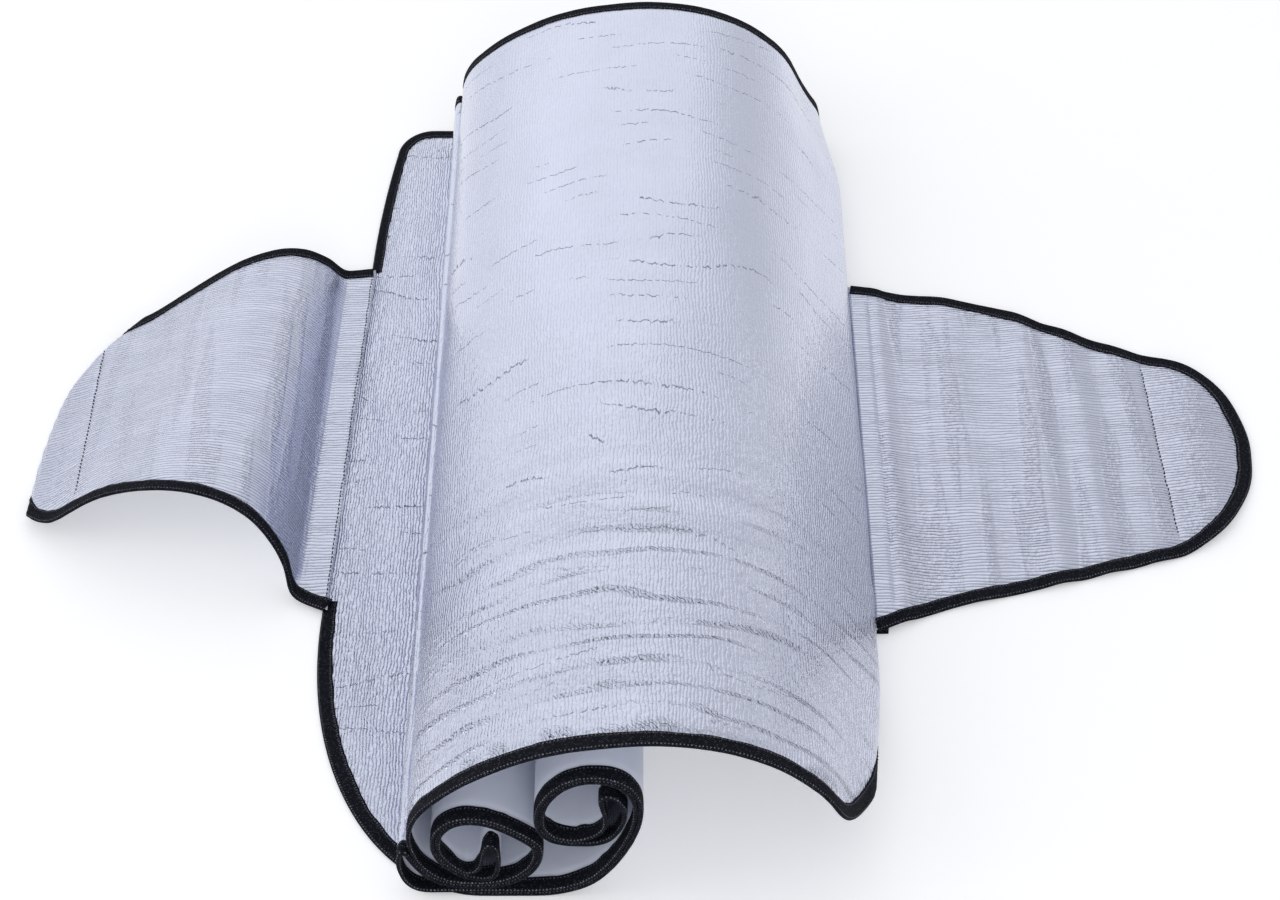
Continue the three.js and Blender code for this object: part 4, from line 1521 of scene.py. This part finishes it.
@dataclass
class EarSheet:
    """An ear's foam sheet as one piece.

    Attributes:
        ear: The ear's plan and lie.
        maker: What all sheets have in common.
        rows: Rows of vertices from the front edge to the back edge.
        step: Distance between two columns, in mm.
        tip_length: Length at the tip where the columns crowd, in mm.
        tip_columns: Columns on that length.
        groove_at: Where the seam's fold presses a groove, as distance, in mm.
        stitch_at: Where the line across near the tip is sewn, as distance, in mm.
        seam_stitch: Where the seam's edge is sewn, as distance, in mm.
        sewn_columns: Columns beside a groove, from its middle, in mm.
        sewn_clear: Distance from a groove within which the other columns are left out, in mm.
        groove: Half width and depth of the seam's groove, in mm.
        hem: Half width and depth of the groove near the tip, in mm.
        free_from: Distance past which the soft hollows start, in mm.
        free_ramp: Distance over which they grow, in mm.
        beside_tape: Distance from the tape over which the relief grows, in mm.
        crowding: Share of the rows' spacing that is closer at both edges.
    """

    ear: Ear
    maker: SheetMaker
    rows: int = 84
    step: float = 2.6
    tip_length: float = 12.0
    tip_columns: int = 12
    groove_at: float = 14.0
    stitch_at: float = 182.0
    seam_stitch: float = -1.4
    sewn_columns: tuple[float, ...] = (-3.2, -1.6, -0.8, 0.0, 0.8, 1.6, 3.2)
    sewn_clear: float = 3.6
    groove: tuple[float, float] = (1.6, 0.8)
    hem: tuple[float, float] = (1.4, 0.7)
    free_from: float = 18.0
    free_ramp: float = 20.0
    beside_tape: float = 12.0
    crowding: float = 0.35

    def relief(self, s: np.ndarray, v: np.ndarray) -> np.ndarray:
        """Gives the ear's soft hollows and its sewn grooves.

        Args:
            s: Distances from the bound edge line, in mm.
            v: Distances along Y from the panel's front edge, in mm.

        Returns:
            Heights, in mm.
        """
        broad = SoftNoise(34, 120, 11).at(s, v) * 0.5 + SoftNoise(12, 60, 12).at(s, v) * 0.25
        sewn = np.exp(-((s - self.groove_at) / self.groove[0]) ** 2) * self.groove[1]
        hem = np.exp(-((s - self.stitch_at) / self.hem[0]) ** 2) * self.hem[1]
        return broad * smooth((s - self.free_from) / self.free_ramp) - sewn - hem

    def build(self, finishes: Finishes) -> bpy.types.Object:
        """Makes the piece.

        Args:
            finishes: The shade's finishes.

        Returns:
            The finished ear.
        """
        ear, maker = self.ear, self.maker
        margin = maker.binding - maker.hidden
        edge = inset(ear.plan.outline(), margin, 1.0)
        tip = int(np.argmax(edge[:, 0]))
        near, far = edge[: tip + 1], edge[tip:][::-1]
        s = self._columns(edge[tip, 0] - 0.2)
        low = np.interp(s, near[:, 0], near[:, 1])
        high = np.interp(s, far[:, 0], far[:, 1])
        high = np.maximum(high, low + 0.8)
        t = 0.5 - 0.5 * np.cos(np.linspace(0, math.pi, self.rows))
        t = self.crowding * t + (1 - self.crowding) * np.linspace(0, 1, self.rows)
        ss = np.repeat(s[:, None], len(t), 1)
        vv = low[:, None] * (1 - t) + high[:, None] * t
        depth = distance(ss, vv, ear.plan.outline()[::2])
        half = maker.thickness(depth)
        relief = self.relief(ss, vv) * smooth((depth - maker.binding) / self.beside_tape)
        skin = Skin(f"shade_{ear.side.value}_ear_sheet", ear.place)
        top = skin.add(ss, vv, half + relief)
        under = skin.add(ss, vv, -half + relief * 0.5)
        flipped = ear.side is Side.LEFT
        skin.quads(top, 0, flipped)
        skin.quads(under, 1, not flipped)
        close_rim(skin, under if flipped else top, top if flipped else under)
        return skin.build([finishes.ear_foil, finishes.backing])

    def _columns(self, end: float) -> np.ndarray:
        """Spaces the columns, closely at the tip and beside the sewn grooves.

        Args:
            end: The last column's distance, in mm.

        Returns:
            The distances, rising.
        """
        start = end - self.tip_length
        bow = np.sin(np.linspace(0, math.pi / 2, self.tip_columns))
        s = np.concatenate([np.arange(-self.ear.lap, start, self.step), start + self.tip_length * bow])
        for middle in (self.groove_at, self.stitch_at):
            kept = s[abs(s - middle) > self.sewn_clear]
            s = np.sort(np.concatenate([kept, middle + np.array(self.sewn_columns)]))
        return s


@dataclass
class EdgeTape:
    """Binding tape folded over an edge, as a U round the squeezed sheet.

    Attributes:
        name: The piece's name.
        place: Puts flat places into the room.
        line: The outer edge, flat, in mm.
        hand: 1 where the sheet lies on the line's left, -1 on its right.
        width: How far each side of the tape reaches in.
        half: Half the bound edge's thickness.
        wall: Thickness of the tape's cloth.
        step: Distance between two cross sections.
        seed: Seed of the tape's waves.
        bends: Flat u of places where the sheet turns, so that the tape follows it there.
        gathered: Stretches of flat u where the tape is gathered inside a tight turn.
        gather_ramp: Length over which the gathers set in.
        gather: How much stronger the waves are there.
        waves: Share of its width by which the inner edge swings in long and in short waves.
        puffs: Share of its thickness by which the tape swells in short waves.
        least_gap: Least distance between two cross sections.
    """

    name: str
    place: Place
    line: np.ndarray
    hand: float
    width: float = 9.0
    half: float = 1.22
    wall: float = 0.42
    step: float = 2.4
    seed: int = 21
    bends: Sequence[float] = ()
    gathered: Points = ()
    gather_ramp: float = 15.0
    gather: float = 2.2
    waves: tuple[float, float] = (0.05, 0.03)
    puffs: float = 0.09
    least_gap: float = 0.2

    def profile(self) -> np.ndarray:
        """Draws the U: its rounded outside first, then its inside.

        Returns:
            The outline's points, as distance in from the edge, and height.
        """
        w, h, t = self.width, self.half, self.wall
        outer = [(w, h * 0.72), (w - 0.35, h * 0.9), (w - 1.2, h * 0.97), (w * 0.55, h),
                 (2.4, h), (1.1, h * 0.94), (0.4, h * 0.72), (0.06, h * 0.36)]
        inner = [(w, h * 0.72 - t), (w * 0.5, h - t - 0.1), (1.5, h - t - 0.15)]
        down = [(d, -z) for d, z in outer[::-1]]
        back = [(d, -z) for d, z in inner]
        return np.array([*outer, (0.0, 0.0), *down, *back, (1.0, 0.0), *inner[::-1]])

    def build(self, finishes: Finishes) -> bpy.types.Object:
        """Makes the piece.

        Args:
            finishes: The shade's finishes.

        Returns:
            The finished tape.
        """
        track = Track(self.line)
        s = self._stations(track)
        x, y = track.read(s)
        before, after = track.read(s - 1.5), track.read(s + 1.5)
        tx, ty = after[0] - before[0], after[1] - before[1]
        size = np.hypot(tx, ty)
        ix, iy = -ty / size * self.hand, tx / size * self.hand
        shape = self.profile()
        wave = SoftNoise(11, 10, self.seed).at(s, s * 0)
        pucker = SoftNoise(4.6, 10, self.seed + 1).at(s, s * 0)
        tight = np.ones(len(s))
        for low, high in self.gathered:
            inside = smooth((x - low) / self.gather_ramp) * smooth((high - x) / self.gather_ramp)
            tight += self.gather * inside
        long, short = self.waves
        d = shape[None, :, 0] * (1 + ((long * wave + short * pucker) * tight)[:, None])
        w = shape[None, :, 1] * (1 + (self.puffs * pucker * np.sqrt(tight))[:, None])
        u = x[:, None] + ix[:, None] * d
        v = y[:, None] + iy[:, None] * d
        skin = Skin(self.name, self.place)
        grid = skin.add(u, v, w)
        along, round_it = np.broadcast_arrays(s[:, None], self._girth(shape))
        skin.flats[-1] = np.stack([along, round_it], -1).reshape(-1, 2) * MM
        closed = np.concatenate([grid, grid[:, :1]], 1)
        skin.quads(closed, 0, turned=self.hand > 0)
        self._ends(skin, grid)
        return skin.build([finishes.tape])

    def _stations(self, track: Track) -> np.ndarray:
        """Spaces the cross sections evenly, with more of them where the sheet turns.

        Args:
            track: The outer edge.

        Returns:
            Lengths along it, rising.
        """
        s = np.linspace(0, track.end, math.ceil(track.end / self.step))
        if len(self.bends):
            fine = np.arange(0, track.end, FINE)
            s = np.sort(np.concatenate([s, np.interp(self.bends, track.read(fine)[0], fine)]))
            s = s[np.concatenate([[True], np.diff(s) > self.least_gap])]
        return s

    @staticmethod
    def _girth(shape: np.ndarray) -> np.ndarray:
        """Gives each profile point's distance round the tape."""
        steps = np.linalg.norm(np.diff(shape, axis=0), axis=1)
        return np.concatenate([[0.0], np.cumsum(steps)])[None, :]

    def _ends(self, skin: Skin, grid: np.ndarray, outer: int = 17) -> None:
        """Closes both cut ends with a row of faces between the outer and the inner wall.

        Args:
            skin: The mesh being made.
            grid: Vertex numbers, one row for each cross section.
            outer: Number of points on the outside of the U.
        """
        for row, first in ((grid[0], True), (grid[-1], False)):
            top = row[:outer]
            inner = np.concatenate([row[outer:], [row[-1]]])[::-1]
            reach = np.linspace(0, len(inner) - 1, outer).round().astype(int)
            strip = np.stack([top, inner[reach]], -1)
            skin.quads(strip, 0, turned=(self.hand > 0) == first)


@dataclass
class StitchRow:
    """A row of lockstitches, each a short rounded thread that dips at both ends.

    Attributes:
        name: The piece's name.
        place: Puts flat places into the room.
        line: Where the row runs, flat, in mm.
        lift: Height of the thread's middle over the mid surface at a place of the sheet.
        pitch: Distance from one stitch to the next.
        length: Length of a stitch.
        radius: Radius of the thread.
        around: Points round the thread, of which the end caps need six.
        parts: Lengths that a stitch is made of.
        end_share: Share of its radius that the thread has at a stitch's ends.
        dip: How far its ends sink in, in radii.
    """

    name: str
    place: Place
    line: np.ndarray
    lift: Callable[[np.ndarray, np.ndarray], np.ndarray]
    pitch: float = 3.6
    length: float = 2.7
    radius: float = 0.24
    around: int = 6
    parts: int = 4
    end_share: float = 0.35
    dip: float = 1.2

    def build(self, material: bpy.types.Material) -> bpy.types.Object:
        """Makes all the stitches of the row as one piece.

        Args:
            material: The thread's finish.

        Returns:
            The finished row.
        """
        track = Track(self.line)
        starts = np.arange(self.pitch / 2, track.end - self.pitch, self.pitch)
        t = np.linspace(0, 1, self.parts + 1)
        s = starts[:, None] + self.length * t
        x, y = track.read(s)
        ahead = track.read(s + 0.3)
        tx, ty = ahead[0] - x, ahead[1] - y
        size = np.maximum(np.hypot(tx, ty), TINY)
        sx, sy = -ty / size, tx / size
        arch = np.sin(math.pi * t)
        radius = self.radius * (self.end_share + (1 - self.end_share) * arch)
        angle = np.linspace(0, 2 * math.pi, self.around, endpoint=False)
        side = radius[None, :, None] * np.cos(angle)
        rise = radius[None, :, None] * np.sin(angle)
        w = self.lift(x, y)[..., None] + (arch[None, :, None] - 1) * self.radius * self.dip + rise
        u = x[..., None] + sx[..., None] * side
        v = y[..., None] + sy[..., None] * side
        skin = Skin(self.name, self.place)
        grid = skin.add(u, v, np.broadcast_to(w, u.shape))
        closed = np.concatenate([grid, grid[..., :1]], -1)
        for row in closed:
            skin.quads(row, 0)
        for row in grid:
            self._cap(skin, row[0], True)
            self._cap(skin, row[-1], False)
        return skin.build([material])

    @staticmethod
    def _cap(skin: Skin, ring: np.ndarray, first: bool) -> None:
        """Closes one end of a stitch."""
        a = np.array([[ring[0], ring[5]], [ring[1], ring[4]], [ring[2], ring[3]]])
        skin.quads(a, 0, turned=first)


@dataclass(frozen=True)
class Lamp:
    """A square soft lamp that points at the shade.

    Attributes:
        name: The lamp's name.
        place: Where it hangs, in metres.
        size: Its side, in metres.
        power: Its power, in watts.
    """

    name: str
    place: tuple[float, float, float]
    size: float
    power: float

    def build(self) -> bpy.types.Object:
        """Makes the lamp.

        Returns:
            The lamp's object.
        """
        data = bpy.data.lights.new(self.name, "AREA")
        data.size = self.size
        data.energy = self.power
        lamp = bpy.data.objects.new(self.name, data)
        lamp.location = self.place
        lamp.rotation_euler = (-Vector(self.place)).to_track_quat("-Z", "Y").to_euler()
        bpy.context.collection.objects.link(lamp)
        return lamp


@dataclass
class Studio:
    """Pale floor, soft lamps and the camera at the photograph's viewing angle.

    Attributes:
        pitch: How far the camera looks down, in degrees.
        focal: Focal length, in pixels of the frame.
        frame_width: Width of the frame, in pixels.
        away: Depth of the panel's front edge line from the camera, in metres.
        drop: How far that line lies under the camera's axis, in metres.
        sensor: Width of the camera's sensor, in mm.
        front_y: Y of the panel's front edge line, in metres.
        centre_x: X of the camera, in metres.
        reach: Nearest and furthest place that the camera shows, in metres.
        floor_side: Side of the floor, in metres.
        world_tint: Colour of the surroundings.
        world_levels: Brightness of the surroundings, as height of the direction and level.
        world_sides: Brightness of the surroundings on the left and on the right.
        lamps: The soft lamps.
    """

    pitch: float = 40.0
    focal: float = 2400.0
    frame_width: float = 1280.0
    away: float = 1.190966
    drop: float = 0.221817
    sensor: float = 36.0
    front_y: float = -0.35
    centre_x: float = -0.00538
    reach: tuple[float, float] = (0.05, 30.0)
    floor_side: float = 16.0
    world_tint: tuple[float, float, float] = (0.94, 0.955, 1.0)
    world_levels: Points = ((0.0, 1.0), (0.3, 1.0), (0.6, 0.93), (0.8, 0.74), (1.0, 0.6))
    world_sides: tuple[float, float] = (0.97, 0.66)
    lamps: tuple[Lamp, ...] = (
        Lamp("back", (-0.3, 1.9, 1.6), 2.4, 5.0),
        Lamp("left", (-1.9, -0.5, 1.2), 1.2, 5.0),
        Lamp("front", (0.1, -2.1, 0.6), 1.0, 10.0),
    )

    def camera(self) -> None:
        """Makes the camera and takes it as the scene's own."""
        data = bpy.data.cameras.new("camera")
        data.sensor_width = self.sensor
        data.lens = self.focal / self.frame_width * self.sensor
        data.clip_start, data.clip_end = self.reach
        camera = bpy.data.objects.new("camera", data)
        bpy.context.collection.objects.link(camera)
        s, c = math.sin(math.radians(self.pitch)), math.cos(math.radians(self.pitch))
        camera.location = (self.centre_x, self.front_y - self.away * c + self.drop * s,
                           self.away * s + self.drop * c)
        camera.rotation_euler = (math.radians(90.0 - self.pitch), 0.0, 0.0)
        bpy.context.scene.camera = camera

    def floor(self) -> None:
        """Makes the floor."""
        bpy.ops.object.select_all(action="DESELECT")
        bpy.ops.mesh.primitive_plane_add(size=self.floor_side, location=(0.0, 0.0, 0.0))
        floor = bpy.context.object
        floor.name = FLOOR
        floor.data.materials.append(FloorFinish().build())

    def world(self) -> None:
        """Makes a soft pale surrounding, brighter low down and on the left."""
        world = bpy.data.worlds.new("studio")
        world.use_nodes = True
        tree = world.node_tree
        tree.nodes.clear()
        place = tree.nodes.new("ShaderNodeTexCoord")
        split = tree.nodes.new("ShaderNodeSeparateXYZ")
        ramp = tree.nodes.new("ShaderNodeValToRGB")
        while len(ramp.color_ramp.elements) < len(self.world_levels):
            ramp.color_ramp.elements.new(1.0)
        for element, (height, level) in zip(ramp.color_ramp.elements, self.world_levels):
            element.position = height
            element.color = (*(level * part for part in self.world_tint), 1.0)
        sides = tree.nodes.new("ShaderNodeMapRange")
        for socket, number in zip(sides.inputs[1:5], (-1.0, 1.0, *self.world_sides)):
            socket.default_value = number
        soft = tree.nodes.new("ShaderNodeBackground")
        out = tree.nodes.new("ShaderNodeOutputWorld")
        tree.links.new(place.outputs["Generated"], split.inputs[0])
        tree.links.new(split.outputs[2], ramp.inputs[0])
        tree.links.new(split.outputs[0], sides.inputs[0])
        tree.links.new(ramp.outputs[0], soft.inputs["Color"])
        tree.links.new(sides.outputs[0], soft.inputs["Strength"])
        tree.links.new(soft.outputs[0], out.inputs[0])
        bpy.context.scene.world = world

    def build(self) -> None:
        """Sets up floor, lamps, surroundings and camera."""
        self.camera()
        self.floor()
        for lamp in self.lamps:
            lamp.build()
        self.world()
        bpy.context.scene.view_settings.view_transform = "Standard"


@dataclass
class Sunshade:
    """The whole shade, dressed.

    Attributes:
        panel: The folded panel.
        maker: What all sheets have in common.
        ears: Both ears.
        gathered: Stretches of the panel's u where its tape is gathered, inside the coils, in mm.
        stitch_in: Distance of a tape's stitches from its inner edge, in mm.
        stitch_up: Height of their thread's middle over the tape, in mm.
        needle_up: Height of the thread's middle over an ear's foil, in mm.
        needle_sway: How far an ear's sewn line wanders, in mm.
        needle_clear: Distance of its ends from the tape, in mm.
    """

    panel: FoldedPanel = field(default_factory=FoldedPanel)
    maker: SheetMaker = field(default_factory=SheetMaker)
    ears: tuple[Ear, ...] = field(
        default_factory=lambda: (Ear(Side.LEFT, 3.0, 1.5), Ear(Side.RIGHT, -1.0, -2.5)))
    gathered: Points = ((335, 460), (900, 1000))
    stitch_in: float = 1.7
    stitch_up: float = 0.02
    needle_up: float = 0.3
    needle_sway: float = 0.4
    needle_clear: float = 0.5

    @staticmethod
    def finishes() -> Finishes:
        """Makes every finish once.

        Returns:
            The finishes.
        """
        return Finishes(
            FoilFinish("panel_foil", Grain.ALONG_V).build(),
            FoilFinish("ear_foil", Grain.ALONG_U, pitch=0.0025, wiggle=0.65, run=0.012,
                       broken=0.02).build(),
            BackingFinish("backing_film").build(),
            TapeFinish("edge_tape").build(),
            ThreadFinish("black_thread", (0.01, 0.01, 0.016, 1), (0.05, 0.05, 0.07, 1)).build(),
        )

    @staticmethod
    def settle(piece: bpy.types.Object, slot: str, *nodes: str) -> bpy.types.Object:
        """Attaches a finished piece to the body, hides the CAD nodes that it replaces and logs its faces.

        Args:
            piece: The piece.
            slot: Name of a material slot; not used.
            nodes: The CAD nodes that it replaces.

        Returns:
            The piece.
        """
        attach(piece, BODY)
        if nodes:
            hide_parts(*nodes)
        LOG.info("%s: %d faces", piece.name, len(piece.data.polygons))
        return piece

    def tapes(self, finishes: Finishes) -> dict[str, bpy.types.Object]:
        """Makes all edge tapes, each with the stitches that hold it.

        Args:
            finishes: The shade's finishes.

        Returns:
            The tapes by the name of the node they stand for.
        """
        p = self.panel
        made = {}
        bends = p.track.stations(20, p.width - 20, math.radians(14), 40.0)
        for name, front in (("front_binding", True), ("back_binding", False)):
            hand = 1.0 if front else -1.0
            tape = EdgeTape(f"shade_{name}", p.place, p.edge(front), hand, seed=31 + front,
                            bends=bends, gathered=self.gathered)
            made[name] = self.settle(tape.build(finishes), "edge_tape", name)
            self.sew(tape, finishes)
        for ear in self.ears:
            name = f"{ear.side.value}_ear_binding"
            line = ear.plan.outline()
            line = line[line[:, 0] >= -ear.overrun]
            tape = EdgeTape(f"shade_{name}", ear.place, line, 1.0, seed=41)
            made[name] = self.settle(tape.build(finishes), "edge_tape", name)
            self.sew(tape, finishes)
        return made

    def sew(self, tape: EdgeTape, finishes: Finishes) -> None:
        """Adds the row of stitches near a tape's inner edge, on the foil side.

        Args:
            tape: The tape.
            finishes: The shade's finishes.
        """
        line = inset(tape.line, tape.width - self.stitch_in, tape.hand)
        row = StitchRow(f"{tape.name}_stitches", tape.place, line,
                        lambda s, v: np.full(s.shape, tape.half + self.stitch_up))
        self.settle(row.build(finishes.thread), "edge_tape")

    def needle_lines(self, ear: Ear, sheet: EarSheet, finishes: Finishes) -> None:
        """Adds an ear's sewn lines, along the seam's edge where it is there, and near the tip.

        Args:
            ear: The ear.
            sheet: Its foam sheet.
            finishes: The shade's finishes.
        """
        outline = ear.plan.outline()
        tip = int(np.argmax(outline[:, 0]))
        near, far = outline[: tip + 1], outline[tip:][::-1]
        for part, s in (("seam", sheet.seam_stitch), ("hem", sheet.stitch_at)):
            if s < -ear.lap + 0.8:
                continue
            inside = self.maker.binding + self.needle_clear
            low = np.interp(s, near[:, 0], near[:, 1]) + inside
            high = np.interp(s, far[:, 0], far[:, 1]) - inside
            v = np.arange(low, high, 1.0)
            line = np.stack([s + self.needle_sway * SoftNoise(9, 9, 51).at(v * 0, v), v], -1)
            row = StitchRow(f"shade_{ear.side.value}_ear_{part}_stitches", ear.place, line,
                            lambda s, v: self.maker.half + self.needle_up + sheet.relief(s, v),
                            pitch=3.8, length=2.9, radius=0.4)
            self.settle(row.build(finishes.thread), "edge_tape")

    def build(self) -> None:
        """Builds every piece."""
        finishes = self.finishes()
        tapes = self.tapes(finishes)
        sheet = PanelSheet(self.panel, self.maker).build(finishes)
        self.settle(sheet, "foil_sheet", "main_panel")
        width, height = self.panel.width * MM, self.panel.height * MM
        width * height
        for ear in self.ears:
            foam = EarSheet(ear, self.maker)
            flap = foam.build(finishes)
            name = f"{ear.side.value}_ear"
            self.settle(flap, "foil_sheet", name)
            self.needle_lines(ear, foam, finishes)
            reach, seam = (side * MM for side in ear.flat)


def main() -> None:
    """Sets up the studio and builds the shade."""
    logging.basicConfig(level=logging.INFO, format="%(message)s")
    Studio().build()
    Sunshade().build()


if __name__ == "__main__":
    main()
